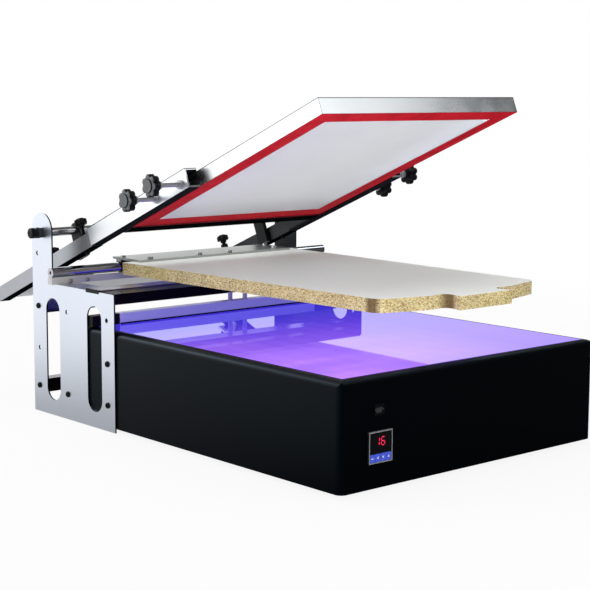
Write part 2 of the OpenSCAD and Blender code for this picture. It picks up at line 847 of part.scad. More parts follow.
module slot_outline(mid) {
    r = slot_w / 2;
    translate([mid - r, slot_z + r]) square([slot_w, slot_l - slot_w]);
    for (z = [slot_z + r, slot_z + slot_l - r])
        translate([mid, z]) circle(r, $fn = round_fn);
}

module plate_holes(points, d) {
    for (p = points)
        translate(p) circle(d = d, $fn = small_fn);
}

module side_plate() {
    translate([-plate_t, plate_front, 0]) rotate([90, 0, 90]) linear_extrude(plate_t)
        difference() {
            plate_outline();
            slot_outline(front_slot_y);
            slot_outline(rear_slot_y);
            plate_holes(tie_screws, button_shank + 0.4);
            plate_holes(unit_screws, button_shank + 0.4);
            plate_holes(spare_holes, 2 * spare_r);
            translate([plate_d - post_r, pivot_z])
                circle(d = shaft_d + 2 * seat_gap, $fn = round_fn);
        }
}

// Flange that is bent inwards between the middle cross tube and the post
module plate_flange() {
    plain_box([-plate_t, mid_tube_rear + cap_rim + fit_gap, plate_h - plate_t],
              [flange_w, post_front, plate_h]);
}

module left_plate() {
    color("#dfe3ea") placed() {
        side_plate();
        plate_flange();
    }
}

module right_plate() {
    color("#dfe3ea") placed() mirrored() {
        side_plate();
        plate_flange();
    }
}

// Button screw along X with its head on the left of the plate
module button_screw(d, h, shank, reach) {
    difference() {
        union() {
            translate([-h * 0.45, 0, 0]) rod_x(d, h * 0.45);
            translate([-h, 0, 0]) rotate([0, 90, 0])
                cylinder(d1 = d * 0.62, d2 = d, h = h * 0.55, $fn = round_fn);
            translate([-0.01, 0, 0]) rod_x(shank, reach + 0.01);
        }
        translate([-h - cut, 0, 0]) rotate([0, 90, 0]) hex_prism(button_hex * d / button_d, cut + h * 0.6);
    }
}

module frame_screws() {
    color("#17181a") placed() on_both_sides() translate([-plate_t, plate_front, 0]) {
        for (p = concat(tie_screws, unit_screws))
            translate([0, p[0], p[1]])
                button_screw(button_d, button_h, button_shank, plate_t + button_reach);
    }
    color("#c4c7cb") placed() bed_bolt_spots() {
        translate([0, 0, -washer_t]) cylinder(d = bed_bolt_d, h = washer_t + saddle_grip, $fn = small_fn);
        translate([0, 0, -washer_t]) cylinder(d = bed_bolt_d * 2.2, h = washer_t, $fn = small_fn);
        translate([0, 0, -washer_t - 2.6]) hex_prism(bed_bolt_d * 1.6, 2.61);
    }
}

// Places of the saddle bolts, with Z pointing to the rear from the bed's front face
module bed_bolt_spots() {
    on_both_sides() for (side = [-1, 1])
        translate([bed_bolt_x + side * bed_bolt_pitch / 2, bed_front, plate_h + bed_bolt_z])
            rotate([-90, 0, 0]) children();
}

// Hole along X through both ends of a cross member
module end_holes(y, z, d) {
    for (x = [-cut, unit_w - button_reach - fit_gap])
        translate([x, y, z]) rod_x(d, button_reach + fit_gap + cut);
}

module rear_ties() {
    color("#1e1f22") placed() for (z = [lower_tie_z, upper_tie_z])
        difference() {
            translate([0, tie_mid_y - tie_w / 2, z - tie_w / 2])
                hollow_bar([unit_w, tie_w, tie_w], tie_wall);
            end_holes(tie_mid_y, z, button_shank + 0.4);
        }
}

module front_cross_tube() {
    color("#1e1f22") placed()
        translate([0, plate_front, front_tube_top - front_tube_h])
            hollow_bar([unit_w, front_tube_d, front_tube_h], tube_wall);
}

// Tube with a plastic cap on each end
module mid_cross_tube() {
    color("#d5d7da") placed() difference() {
        translate([cap_t, mid_tube_front, mid_tube_top - mid_tube_h])
            hollow_bar([unit_w - 2 * cap_t, mid_tube_d, mid_tube_h], tube_wall);
        leveller_holes();
    }
    color("#111111") placed() on_both_sides()
        plain_box([0, mid_tube_front - cap_rim, mid_tube_top - mid_tube_h - cap_rim],
                  [cap_t, mid_tube_rear + cap_rim, mid_tube_top + cap_rim]);
}

module leveller_spots() {
    for (side = [-1, 1])
        translate([rail_mid + leveller_shift + side * leveller_pitch / 2, leveller_y, 0]) children();
}

module leveller_holes() {
    leveller_spots() translate([0, 0, low_bar_top])
        cylinder(d = leveller_d + 2 * seat_gap, h = board_bottom - low_bar_top, $fn = round_fn);
}

// Black end blocks of the low bar, which sit against the plates and plug into the bar
module stop_blocks() {
    plug_inset = tube_wall + seat_gap;
    plug_w = low_bar_w - 2 * plug_inset;
    color("#131316") placed() on_both_sides() translate([0, low_bar_front, low_bar_bottom]) {
        cube([block_l, low_bar_w, low_bar_w]);
        translate([0, plug_inset, plug_inset]) cube([block_l + block_plug_l, plug_w, plug_w]);
    }
}

module low_bar() {
    hollow_w = low_bar_w - 2 * tube_wall;
    color("#9a9ca4") placed() translate([block_l, low_bar_front, low_bar_bottom]) difference() {
        cube([unit_w - 2 * block_l, low_bar_w, low_bar_w]);
        translate([-cut, tube_wall, tube_wall])
            cube([unit_w - 2 * block_l + 2 * cut, hollow_w, hollow_w]);
    }
}

module pallet_levellers() {
    tip = board_bottom - 0.2;
    color("#c4c7cb") placed() leveller_spots() {
        translate([0, 0, low_bar_top]) cylinder(d = leveller_d, h = tip - low_bar_top, $fn = round_fn);
        translate([0, 0, mid_tube_top]) hex_prism(leveller_d * 1.6, leveller_d * 0.6);
    }
}

// Bar across the plates' flanges, with a grooved saddle for the rail at each end
module rail_bed() {
    color("#cfd2d6") placed() difference() {
        union() {
            plain_box([-bed_over, bed_front, plate_h],
                      [unit_w + bed_over, bed_rear, plate_h + bed_h - bed_drop]);
            on_both_sides() translate([-bed_over, bed_front, plate_h])
                cube([saddle_l, bed_w, bed_h + saddle_lip]);
        }
        translate([-bed_over - cut, rail_y, rail_z])
            rod_x(rail_d + 2 * seat_gap, unit_w + 2 * (bed_over + cut));
        bed_bolt_spots() translate([0, 0, -cut])
            cylinder(d = bed_bolt_d + 2 * seat_gap, h = saddle_grip + cut + fit_gap, $fn = small_fn);
    }
}

module rail() {
    color("#d9dade") placed() translate([rail_left, rail_y, rail_z]) difference() {
        rod_x(rail_d, rail_l);
        translate([-cut, 0, 0]) rod_x(rail_bore, rail_l + 2 * cut);
    }
}

module shaft_placed() {
    placed() translate([0, pivot_y, pivot_z]) children();
}

module pivot_shaft() {
    end = plate_t + shaft_collar_l;
    split = shaft_collar_l * 0.44;
    color("#b9bcc0") shaft_placed() {
        translate([-end - knob_grip, 0, 0]) rod_x(shaft_d, unit_w + 2 * (end + knob_grip));
        on_both_sides() {
            translate([-end, 0, 0]) shaft_ring(shaft_collar_d, shaft_collar_l - split - 0.2);
            translate([-plate_t - split, 0, 0]) shaft_ring(shaft_collar_d - 1.6, split - 0.05);
        }
    }
}

module shaft_ring(d, l) {
    difference() {
        rod_x(d, l);
        translate([-cut, 0, 0]) rod_x(shaft_d, l + 2 * cut);
    }
}

module end_knob() {
    start = -plate_t - shaft_collar_l - end_knob_l;
    groove_r = 0.9;
    difference() {
        translate([start, 0, 0]) rod_x(end_knob_d, end_knob_l - fit_gap);
        translate([-plate_t - shaft_collar_l - knob_grip - fit_gap, 0, 0])
            rod_x(shaft_d + 2 * run_gap, knob_grip + fit_gap + cut);
        for (i = [0 : 15])
            rotate([i * 360 / 16, 0, 0]) translate([start - cut, 0, end_knob_d / 2 + 0.3])
                rod_x(2 * groove_r, end_knob_l - 4);
    }
}

module end_knob_left() {
    color("#0f0f10") shaft_placed() end_knob();
}

module end_knob_right() {
    color("#0f0f10") shaft_placed() mirrored() end_knob();
}

function unit_of(v) = v / norm(v);

// Step of the shoulder's front edge beside the notch
notch_step = 1.5;

// Outline of the pallet's right half about X = 0: neck, concave notch, sloping shoulder with
// a round corner, and the side that widens towards the rear
module board_half() {
    shoulder = [board_front_w / 2, shoulder_y];
    slope = [slope_w / 2, slope_y];
    rear = [board_rear_w / 2, board_rear_y];
    notch = [waist_w / 2 + notch_r, slope_y + notch_step - notch_r];
    to_slope = unit_of(slope - shoulder);
    to_rear = unit_of(rear - shoulder);
    half = acos(to_slope * to_rear) / 2;
    difference() {
        polygon([
            [0, neck_y], [neck_w / 2, neck_y], [waist_w / 2, notch[1]], notch,
            [notch[0], notch[1] + notch_r], slope, shoulder + to_slope * shoulder_r / tan(half),
            shoulder + to_rear * shoulder_r / tan(half), rear, [0, board_rear_y]
        ]);
        translate(notch) circle(notch_r, $fn = round_fn);
    }
    translate(shoulder + unit_of(to_slope + to_rear) * shoulder_r / sin(half))
        circle(shoulder_r, $fn = round_fn);
}

module board_outline() {
    board_half();
    mirror([1, 0]) board_half();
}

module board_bolt_spots() {
    for (side = [-1, 1], x = [0.2, 0.83])
        translate([rail_mid + side * strap_w / 2 * x, strap_front + 11, 0]) children();
}

module hub_bolt_spots() {
    for (side = [-1, 1])
        translate([rail_mid + side * (hub_start - hub_l / 2), rail_y - 3, 0]) children();
}

module pallet_board() {
    color("#d8c79c") placed() difference() {
        translate([rail_mid, 0, board_bottom]) linear_extrude(board_t) board_outline();
        board_bolt_spots() translate([0, 0, board_bottom - cut])
            cylinder(d = 6 + 2 * fit_gap, h = board_t + 2 * cut, $fn = small_fn);
    }
}

module pallet_plate() {
    ear_w = 14;
    ear_h = board_top - (rail_z + rail_d / 2) - 1;
    color("#c3c8cc") placed() difference() {
        union() {
            plain_box([rail_mid - strap_w / 2, strap_front, board_top],
                      [rail_mid + strap_w / 2, rail_y + strap_rear, board_top + strap_t]);
            for (x = [rail_mid - strap_w / 2, rail_mid + strap_w / 2 - ear_t])
                translate([x, rail_y - ear_w / 2, board_top - ear_h]) cube([ear_t, ear_w, ear_h + cut]);
        }
        board_bolt_spots() translate([0, 0, board_top - cut])
            cylinder(d = 6 + 2 * fit_gap, h = strap_t + 2 * cut, $fn = small_fn);
        hub_bolt_spots() translate([0, 0, board_top - cut])
            cylinder(d = 5 + 2 * fit_gap, h = strap_t + 2 * cut, $fn = small_fn);
    }
}

// One ring on the rail that starts at x, with its outer round raised above the rail's axis
module rail_ring(x, l, outer_r, rise) {
    translate([x, rail_y, rail_z]) difference() {
        translate([0, 0, rise]) rod_x(2 * outer_r, l);
        translate([-cut, 0, 0]) rod_x(rail_d + 2 * run_gap, l + 2 * cut);
    }
}

module pallet_hubs() {
    color("#101113") placed() for (x = [rail_mid - hub_start, rail_mid + hub_start - hub_l])
        difference() {
            union() {
                rail_ring(x, hub_l, hub_r, hub_rise);
                translate([x + 1, rail_y - 9, rail_z + rail_d / 2 + 1])
                    cube([hub_l - 2, 18, board_rise - rail_d / 2 - 1]);
            }
            translate([x + hub_l / 2, rail_y - 3, rail_z + rail_d / 2 + 0.6])
                cylinder(d = 5 + 2 * fit_gap, h = hub_r, $fn = small_fn);
        }
}

// Lock collars with a flat underside that clears the bed
module rail_collars() {
    start = hub_start - hub_l - fit_gap;
    flat_z = rail_z - rail_d / 2 - bed_drop + 0.5;
    color("#16171a") placed() for (x = [rail_mid - start, rail_mid + start - collar_l])
        difference() {
            rail_ring(x, collar_l, collar_r, 0);
            plain_box([x - cut, rail_y - collar_r, flat_z - collar_r],
                      [x + collar_l + cut, rail_y + collar_r, flat_z]);
            translate([x + collar_l / 2, rail_y, rail_z]) rotate([90, 0, 0])
                cylinder(d = 4, h = collar_r + cut, $fn = small_fn);
        }
}

module pallet_bolts() {
    nut_h = 3;
    color("#b7babd") placed() {
        board_bolt_spots() {
            translate([0, 0, board_top + strap_t]) hex_prism(hex_w, hex_h);
            translate([0, 0, board_bottom - nut_h])
                cylinder(d = 6, h = board_t + strap_t + nut_h + 0.01, $fn = small_fn);
            translate([0, 0, board_bottom - nut_h]) hex_prism(hex_w, nut_h);
        }
        hub_bolt_spots() {
            translate([0, 0, board_top + strap_t]) hex_prism(hex_w * 0.8, hex_h * 0.8);
            translate([0, 0, board_top - 2.5]) cylinder(d = 5, h = strap_t + 2.6, $fn = small_fn);
        }
    }
}

module pivot_lugs() {
    color("#141518") head_placed() on_both_sides() difference() {
        union() {
            head_box(channel_inner, lug_inner, -lug_r, lug_r, arm_bottom, 0);
            translate([channel_inner, 0, 0]) rod_x(2 * lug_r, lug_t);
        }
        translate([channel_inner - cut, 0, 0]) rod_x(shaft_d + 2 * run_gap, lug_t + 2 * cut);
    }
}

module tail_arm() {
    difference() {
        union() {
            head_box(arm_outer, channel_inner, -tail_l, channel_rear - tongue_gap, arm_bottom, arm_top);
            head_box(tongue_outer, tongue_inner, 0, channel_rear + tongue_l, tongue_bottom, arm_top);
        }
        head_box(arm_outer + arm_wall, channel_inner - arm_wall, -tail_l + 3, channel_rear - 4,
                 arm_bottom + arm_wall, arm_top - arm_wall);
        translate([arm_mid, -height_s, arm_bottom - cut])
            cylinder(d = star_screw_d + 2 * run_gap, h = arm_h + 2 * cut, $fn = round_fn);
    }
}

module tail_arm_left() {
    color("#8f949c") head_placed() tail_arm();
}

module tail_arm_right() {
    color("#8f949c") head_placed() mirrored() tail_arm();
}

module channel() {
    difference() {
        head_box(channel_outer, channel_inner, channel_rear, channel_front, channel_bottom, channel_top);
        head_box(channel_outer + channel_t, channel_inner + cut, channel_rear - cut, channel_front + cut,
                 channel_bottom + channel_t, channel_top - channel_t);
        for (s = [clamp_rear, clamp_front])
            translate([channel_outer - cut, -s, clamp_n])
                rod_x(clamp_screw_d + 2 * run_gap, channel_t + 2 * cut);
    }
}

module channel_left() {
    color("#eceef2") head_placed() channel();
}

module channel_right() {
    color("#eceef2") head_placed() mirrored() channel();
}

module cross_bar() {
    color("#8b8f94") head_placed() translate([channel_inner + 0.2, -screen_rear + 0.5, arm_bottom])
        hollow_bar([unit_w - 2 * channel_inner - 0.4, cross_bar_w, arm_h], arm_wall);
}

// Angle bracket inside an arm that guides its tail screw
module tail_bracket() {
    leg_t = 4;
    difference() {
        union() {
            head_box(channel_inner + 0.2, channel_inner + leg_t, -tail_knob_s - bracket_l / 2,
                     -tail_knob_s + bracket_l / 2, tail_tie_bottom, tail_tie_top);
            head_box(channel_inner + 0.2, channel_inner + bracket_w, -tail_knob_s - bracket_l / 2,
                     -tail_knob_s + bracket_l / 2, tail_tie_top - leg_t, tail_tie_top);
        }
        translate([channel_inner + tail_knob_x, tail_knob_s, tail_tie_bottom])
            cylinder(d = star_screw_d + 2 * run_gap, h = tail_tie_w + cut, $fn = round_fn);
    }
}

// Tie between the arms' ends, and the brackets of the tail screws
module tail_tie() {
    color("#2a2c30") head_placed() {
        translate([channel_inner + 0.2, tail_tie_s - tail_tie_w / 2, tail_tie_bottom])
            hollow_bar([unit_w - 2 * channel_inner - 0.4, tail_tie_w, tail_tie_w], arm_wall);
        on_both_sides() tail_bracket();
    }
}

// Nut and washer on a channel's web, and the button screws on its top flange
module head_fasteners() {
    nut_t = 6;
    color("#9ea2a8") head_placed() on_both_sides() {
        for (s = [clamp_rear, clamp_front])
            translate([channel_outer - washer_t, -s, clamp_n]) difference() {
                union() {
                    rod_x(clamp_screw_d * 2, washer_t);
                    translate([-nut_t, 0, 0]) rotate([0, 90, 0])
                        hex_prism(clamp_screw_d * 1.6, nut_t + 0.01);
                }
                translate([-nut_t - cut, 0, 0])
                    rod_x(clamp_screw_d + 2 * run_gap, nut_t + washer_t + 2 * cut);
            }
        for (s = top_screws_s)
            translate([channel_outer + 8, -s, channel_top])
                cylinder(d1 = 11, d2 = 7, h = 3, $fn = round_fn);
    }
}

// Star knob on a screw that runs along n, from the tip up
module star_screw(tip, knob_bottom, nut_at, nut_h) {
    translate([0, 0, tip]) cylinder(d = star_screw_d, h = knob_bottom - tip + star_h * 0.5, $fn = round_fn);
    translate([0, 0, nut_at]) hex_prism(star_screw_d * 1.6, nut_h);
    translate([0, 0, knob_bottom]) star_knob(star_d, star_h, star_lobes, star_screw_d - 0.02);
}

module height_screw() {
    translate([arm_mid, -height_s, 0])
        star_screw(height_tip, arm_top + height_knob_rise, arm_top + fit_gap, height_nut_h);
}

module height_screw_left() {
    color("#111214") head_placed() height_screw();
}

module height_screw_right() {
    color("#111214") head_placed() mirrored() height_screw();
}

module tail_screw() {
    translate([channel_inner + tail_knob_x, tail_knob_s, 0])
        star_screw(tail_tie_bottom - tail_tip_drop, tail_tie_top + tail_knob_rise,
                   tail_tie_top + fit_gap, tail_nut_h);
}

module tail_screw_left() {
    color("#111214") head_placed() tail_screw();
}

module tail_screw_right() {
    color("#111214") head_placed() mirrored() tail_screw();
}

module screen_frame() {
    x1 = screen_left + screen_w;
    w = screen_tube_w;
    wall = screen_wall;
    color("#d7d9dc") head_placed() difference() {
        head_box(screen_left, x1, screen_rear, screen_front, frame_bottom, screen_top);
        head_box(screen_left + w, x1 - w, screen_rear + w, screen_front - w,
                 frame_bottom - cut, screen_top + cut);
        difference() {
            head_box(screen_left + wall, x1 - wall, screen_rear + wall, screen_front - wall,
                     frame_bottom + wall, screen_top - wall);
            head_box(screen_left + w - wall, x1 - w + wall, screen_rear + w - wall,
                     screen_front - w + wall, frame_bottom, screen_top);
        }
    }
}

module screen_mesh() {
    color("#e9edf6") head_placed()
        head_box(screen_left + 1, screen_left + screen_w - 1, screen_rear + 1, screen_front - 1,
                 frame_bottom - mesh_t, frame_bottom);
}

module screen_border() {
    x1 = screen_left + screen_w;
    w = screen_tube_w;
    color("#a51c28") head_placed() difference() {
        head_box(screen_left, x1, screen_rear, screen_front, screen_bottom, screen_bottom + border_t);
        head_box(screen_left + w, x1 - w, screen_rear + w, screen_front - w,
                 screen_bottom - cut, screen_bottom + border_t + cut);
    }
}

module clamp_placed(s) {
    translate([channel_outer, -s, clamp_n]) children();
}

module clamp_pad(s) {
    pad_x = channel_w + side_gap - 0.1 - pad_t;
    clamp_placed(s) difference() {
        union() {
            translate([pad_x, 0, 0]) rod_x(pad_d, pad_t);
            translate([pad_x - 5, 0, 0]) rod_x(clamp_screw_d + 4, 5.01);
        }
        translate([pad_x - 5 - cut, 0, 0]) rod_x(clamp_screw_d + 2 * run_gap, 5 + cut);
    }
}

module clamp_screw(s, reach) {
    tip_x = channel_w + side_gap - 0.1 - pad_t - fit_gap;
    clamp_placed(s) {
        translate([-reach - clamp_knob_l * 0.4, 0, 0])
            rod_x(clamp_screw_d, reach + clamp_knob_l * 0.4 + tip_x);
        translate([-reach, 0, 0]) rotate([0, -90, 0])
            star_knob(clamp_knob_d, clamp_knob_l, clamp_lobes, clamp_screw_d - 0.02);
    }
}

module clamp_pad_left_rear() {
    color("#2b2c2f") head_placed() clamp_pad(clamp_rear);
}

module clamp_pad_left_front() {
    color("#2b2c2f") head_placed() clamp_pad(clamp_front);
}

module clamp_pad_right_rear() {
    color("#2b2c2f") head_placed() mirrored() clamp_pad(clamp_rear);
}

module clamp_pad_right_front() {
    color("#2b2c2f") head_placed() mirrored() clamp_pad(clamp_front);
}

module clamp_screw_left_rear() {
    color("#0e0e10") head_placed() clamp_screw(clamp_rear, clamp_reach_left);
}

module clamp_screw_left_front() {
    color("#0e0e10") head_placed() clamp_screw(clamp_front, clamp_reach_left);
}

module clamp_screw_right_rear() {
    color("#0e0e10") head_placed() mirrored() clamp_screw(clamp_rear, clamp_reach_right);
}

module clamp_screw_right_front() {
    color("#0e0e10") head_placed() mirrored() clamp_screw(clamp_front, clamp_reach_right);
}

housing();
base_plate();
feet();
glass();
glass_gasket();
diffuser();
led_tray();
led_strips();
led_driver();
timer_case();
timer_display();
timer_key_1();
timer_key_2();
timer_key_3();
timer_key_4();
rocker_frame();
rocker();
power_inlet();
left_plate();
right_plate();
frame_screws();
rear_ties();
front_cross_tube();
mid_cross_tube();
stop_blocks();
low_bar();
pallet_levellers();
rail_bed();
rail();
pivot_shaft();
end_knob_left();
end_knob_right();
rail_collars();
pallet_board();
pallet_plate();
pallet_hubs();
pallet_bolts();
pivot_lugs();
tail_arm_left();
tail_arm_right();
channel_left();
channel_right();
cross_bar();
tail_tie();
head_fasteners();
height_screw_left();
height_screw_right();
tail_screw_left();
tail_screw_right();
screen_frame();
screen_mesh();
screen_border();
clamp_pad_left_rear();
clamp_pad_left_front();
clamp_pad_right_rear();
clamp_pad_right_front();
clamp_screw_left_rear();
clamp_screw_left_front();
clamp_screw_right_rear();
clamp_screw_right_front();
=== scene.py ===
"""Looks for a tabletop screen printing machine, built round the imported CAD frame."""
import json
import math

import bmesh
import bpy
from mathutils import Matrix, Vector

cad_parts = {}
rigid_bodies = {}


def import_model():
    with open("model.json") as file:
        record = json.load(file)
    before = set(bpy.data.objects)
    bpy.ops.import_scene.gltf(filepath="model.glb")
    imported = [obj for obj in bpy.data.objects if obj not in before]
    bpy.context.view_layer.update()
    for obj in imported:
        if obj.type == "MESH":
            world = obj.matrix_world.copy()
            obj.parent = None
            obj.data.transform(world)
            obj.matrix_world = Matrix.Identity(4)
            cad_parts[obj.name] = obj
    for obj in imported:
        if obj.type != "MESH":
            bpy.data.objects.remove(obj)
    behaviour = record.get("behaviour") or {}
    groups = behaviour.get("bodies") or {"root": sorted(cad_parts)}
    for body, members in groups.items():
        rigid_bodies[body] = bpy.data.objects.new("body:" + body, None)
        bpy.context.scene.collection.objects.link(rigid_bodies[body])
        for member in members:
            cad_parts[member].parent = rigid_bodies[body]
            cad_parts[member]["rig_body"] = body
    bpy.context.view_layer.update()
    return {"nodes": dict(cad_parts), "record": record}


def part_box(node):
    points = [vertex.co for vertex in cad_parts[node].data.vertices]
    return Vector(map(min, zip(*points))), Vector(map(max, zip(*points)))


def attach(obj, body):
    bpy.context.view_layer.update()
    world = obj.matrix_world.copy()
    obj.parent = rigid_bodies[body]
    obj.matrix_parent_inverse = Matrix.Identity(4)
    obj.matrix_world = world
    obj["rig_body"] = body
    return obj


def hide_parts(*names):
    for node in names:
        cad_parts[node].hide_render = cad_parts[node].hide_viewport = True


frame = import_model()
NODES = frame["nodes"]
JOINTS = {j["name"]: j for j in frame["record"]["behaviour"]["joints"]}
SLOTS = {p["node"]: p["material_slot"] for p in frame["record"]["subparts"]}
HOUSING_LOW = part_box("housing")[0]

MM = 0.001
SHARP_ANGLE = math.radians(40)
X_AXIS = Vector((1, 0, 0))
Y_AXIS = Vector((0, 1, 0))
Z_AXIS = Vector((0, 0, 1))

# Tilt of the head at rest, and its own directions: forward along the arms and up
HEAD_TILT = math.radians(22.4)
FORWARD = Vector((0, -math.cos(HEAD_TILT), math.sin(HEAD_TILT)))
UP = Vector((0, math.sin(HEAD_TILT), math.cos(HEAD_TILT)))
PIVOT = Vector(JOINTS["head_tilt"]["pos_m"])

# The two sides, with the sign of X that points outwards
OUTWARD = {"left": -1, "right": 1}
CORNERS = ("left_rear", "left_front", "right_rear", "right_front")

# Camera, solved from the photograph's straight edges
CAM_FOCAL_PX = 1510.09
IMAGE_PX = 590.0
SENSOR_MM = 36.0
CAM_YAW = math.radians(41.053)
CAM_PITCH = math.radians(7.774)
CAM_ROLL = math.radians(0.248)
CAM_FROM_CORNER = Vector((-1.45062, -1.56336, 0.58629))


def in_scene(name, data):
    """Object for a mesh, lamp or camera, linked to the scene."""
    made = bpy.data.objects.new(name, data)
    bpy.context.scene.collection.objects.link(made)
    return made


def make_camera():
    data = bpy.data.cameras.new("camera")
    data.sensor_width = SENSOR_MM
    data.lens = CAM_FOCAL_PX / IMAGE_PX * SENSOR_MM
    data.clip_start = 0.05
    data.clip_end = 60.0
    cam = in_scene("camera", data)
    forward = Vector((math.sin(CAM_YAW) * math.cos(CAM_PITCH),
                      math.cos(CAM_YAW) * math.cos(CAM_PITCH), -math.sin(CAM_PITCH)))
    right = Vector((math.cos(CAM_YAW), -math.sin(CAM_YAW), 0.0))
    up = right.cross(forward)
    c, s = math.cos(CAM_ROLL), math.sin(CAM_ROLL)
    right, up = c * right + s * up, c * up - s * right
    turn = Matrix((right, up, -forward)).transposed()
    cam.matrix_world = Matrix.Translation(HOUSING_LOW + CAM_FROM_CORNER) @ turn.to_4x4()
    bpy.context.scene.camera = cam


# Node helpers


class Graph:
    """Short calls for the nodes of one node tree."""

    def __init__(self, tree):
        self.tree = tree
        self.coordinates = self.node("ShaderNodeTexCoord").outputs

    def feed(self, socket, value):
        """Links a socket to another node's output, or sets its own value."""
        if isinstance(value, bpy.types.NodeSocket):
            self.tree.links.new(value, socket)
        elif socket.type == "RGBA":
            socket.default_value = (*value, 1.0)
        else:
            socket.default_value = value

    def node(self, kind, inputs=(), **settings):
        made = self.tree.nodes.new(kind)
        for name, value in settings.items():
            setattr(made, name, value)
        for key, value in dict(inputs).items():
            self.feed(made.inputs[key], value)
        return made

    def math(self, operation, a, b=0.0, clamp=False):
        return self.node("ShaderNodeMath", {0: a, 1: b}, operation=operation, use_clamp=clamp).outputs[0]

    def vector(self, operation, a, b=(0, 0, 0)):
        return self.node("ShaderNodeVectorMath", {0: a, 1: tuple(b)}, operation=operation).outputs["Value"]

    def span(self, value, low, high, to_low=0.0, to_high=1.0, curve="LINEAR"):
        """Maps one range to another, and holds the values beyond its ends."""
        made = self.node("ShaderNodeMapRange", {"Value": value, "From Min": low, "From Max": high,
                                                "To Min": to_low, "To Max": to_high},
                         interpolation_type=curve)
        return made.outputs["Result"]

    def ease(self, *values):
        return self.span(*values, curve="SMOOTHSTEP")

    def pick(self, factor, a, b):
        """a where the factor is 0, b where it is 1."""
        return self.node("ShaderNodeMix", {0: factor, 2: a, 3: b}).outputs[0]

    def mix(self, factor, a, b, blend="MIX"):
        """As pick, for colours."""
        return self.node("ShaderNodeMix", {0: factor, 6: a, 7: b}, data_type="RGBA",
                         blend_type=blend).outputs[2]


class Shader(Graph):
    """A material, with short calls for the patterns and finishes that the materials share."""

    def __init__(self, name, color, **sockets):
        self.material = bpy.data.materials.new(name)
        self.material.use_nodes = True
        super().__init__(self.material.node_tree)
        self.bsdf = self.tree.nodes["Principled BSDF"]
        self.put("Base Color", color)
        for socket, value in sockets.items():
            self.put(socket.replace("_", " ").title().replace("Ior", "IOR"), value)

    def put(self, socket, value):
        self.feed(self.bsdf.inputs[socket], value)

    def place(self, stretch=(1, 1, 1)):
        mapping = {"Vector": self.coordinates["Object"], "Scale": stretch}
        return self.node("ShaderNodeMapping", mapping).outputs["Vector"]

    def noise(self, scale, stretch=(1, 1, 1), detail=3.0, roughness=0.5):
        return self.node("ShaderNodeTexNoise", {
            "Vector": self.place(stretch), "Scale": scale, "Detail": detail,
            "Roughness": roughness}).outputs["Fac"]

    def cells(self, scale, stretch=(1, 1, 1)):
        return self.node("ShaderNodeTexVoronoi", {"Vector": self.place(stretch), "Scale": scale}).outputs

    def bands(self, scale, direction="X"):
        return self.node("ShaderNodeTexWave", {"Vector": self.place(), "Scale": scale},
                         bands_direction=direction).outputs["Fac"]

    def ramp(self, value, stops):
        made = self.node("ShaderNodeValToRGB", {"Fac": value})
        points = made.color_ramp.elements
        while len(points) < len(stops):
            points.new(0.5)
        for point, (at, color) in zip(points, stops):
            point.position = at
            point.color = (*color, 1.0)
        return made.outputs["Color"]

    def axis(self, index, source="Object"):
        return self.node("ShaderNodeSeparateXYZ", {0: self.coordinates[source]}).outputs[index]

    def off(self, value, middle):
        """Distance of a value from a middle one."""
        return self.math("ABSOLUTE", self.math("SUBTRACT", value, middle))

    def facing(self, direction):
        return self.vector("DOT_PRODUCT", self.coordinates["Normal"], direction)

    def outward(self):
        """1 on faces that look away from the machine's middle, and -1 on those toward it."""
        return self.math("MULTIPLY", self.facing(X_AXIS), self.math("SIGN", self.axis(0)))

    def blend(self, pattern, dark, light, low=0.3, high=0.7):
        """Colour that goes from dark to light as the pattern goes from low to high."""
        return self.mix(self.span(pattern, low, high), dark, light)

    def repaint(self, where, tone):
        source = self.bsdf.inputs["Base Color"].links[0].from_socket
        self.put("Base Color", self.mix(where, source, tone))

    def rough(self, pattern, low, high):
        self.put("Roughness", self.span(pattern, 0.3, 0.7, low, high))

    def relief(self, height, strength, depth=0.1 * MM):
        made = self.node("ShaderNodeBump", {"Height": height, "Strength": strength, "Distance": depth})
        self.put("Normal", made.outputs["Normal"])


# Materials


# A face counts as turned some way where its normal's share of that way passes this range
TURNED = (0.7, 0.8)
# Stretch of a pattern whose lines run along X
ALONG_X = (0.1, 1, 1)
WHITE = (1.0, 1.0, 1.0)
CORE_BLACK = (0.005, 0.005, 0.006)


def dark_coat(name, color, gloss, rough, patch=60, detail=3.0, grain=2600, relief=0.12,
              depth=0.1 * MM, **sockets):
    """Dark paint, plastic or rubber: soft patches of gloss over a fine grain."""
    s = Shader(name, color, specular_ior_level=gloss, **sockets)
    s.rough(s.noise(patch, detail=detail), *rough)
    s.relief(s.noise(grain, detail=2.0), relief, depth)
    return s


def satin_black(name, color, rough, gloss):
    return dark_coat(name, color, gloss, (rough - 0.04, rough + 0.06), 40, 4.0, 1300, 0.05)


def knob_plastic(name, gloss, rough):
    return dark_coat(name, (0.004, 0.0042, 0.005), gloss, (rough - 0.05, rough + 0.06))


def grip_plastic():
    """Moulded black knob with a painted reflection: its outer face is painted a mottled satin grey, the
    rest stays black.
    """
    s = dark_coat("grip_plastic", CORE_BLACK, 0.2, (0.36, 0.48), relief=0.1)
    painted_sheen = s.math("MULTIPLY", s.span(s.outward(), 0.55, 0.9), s.span(s.noise(90), 0.25, 0.7, 0.7, 1.0))
    s.put("Base Color", s.mix(painted_sheen, CORE_BLACK, (0.16, 0.165, 0.17)))
    return s


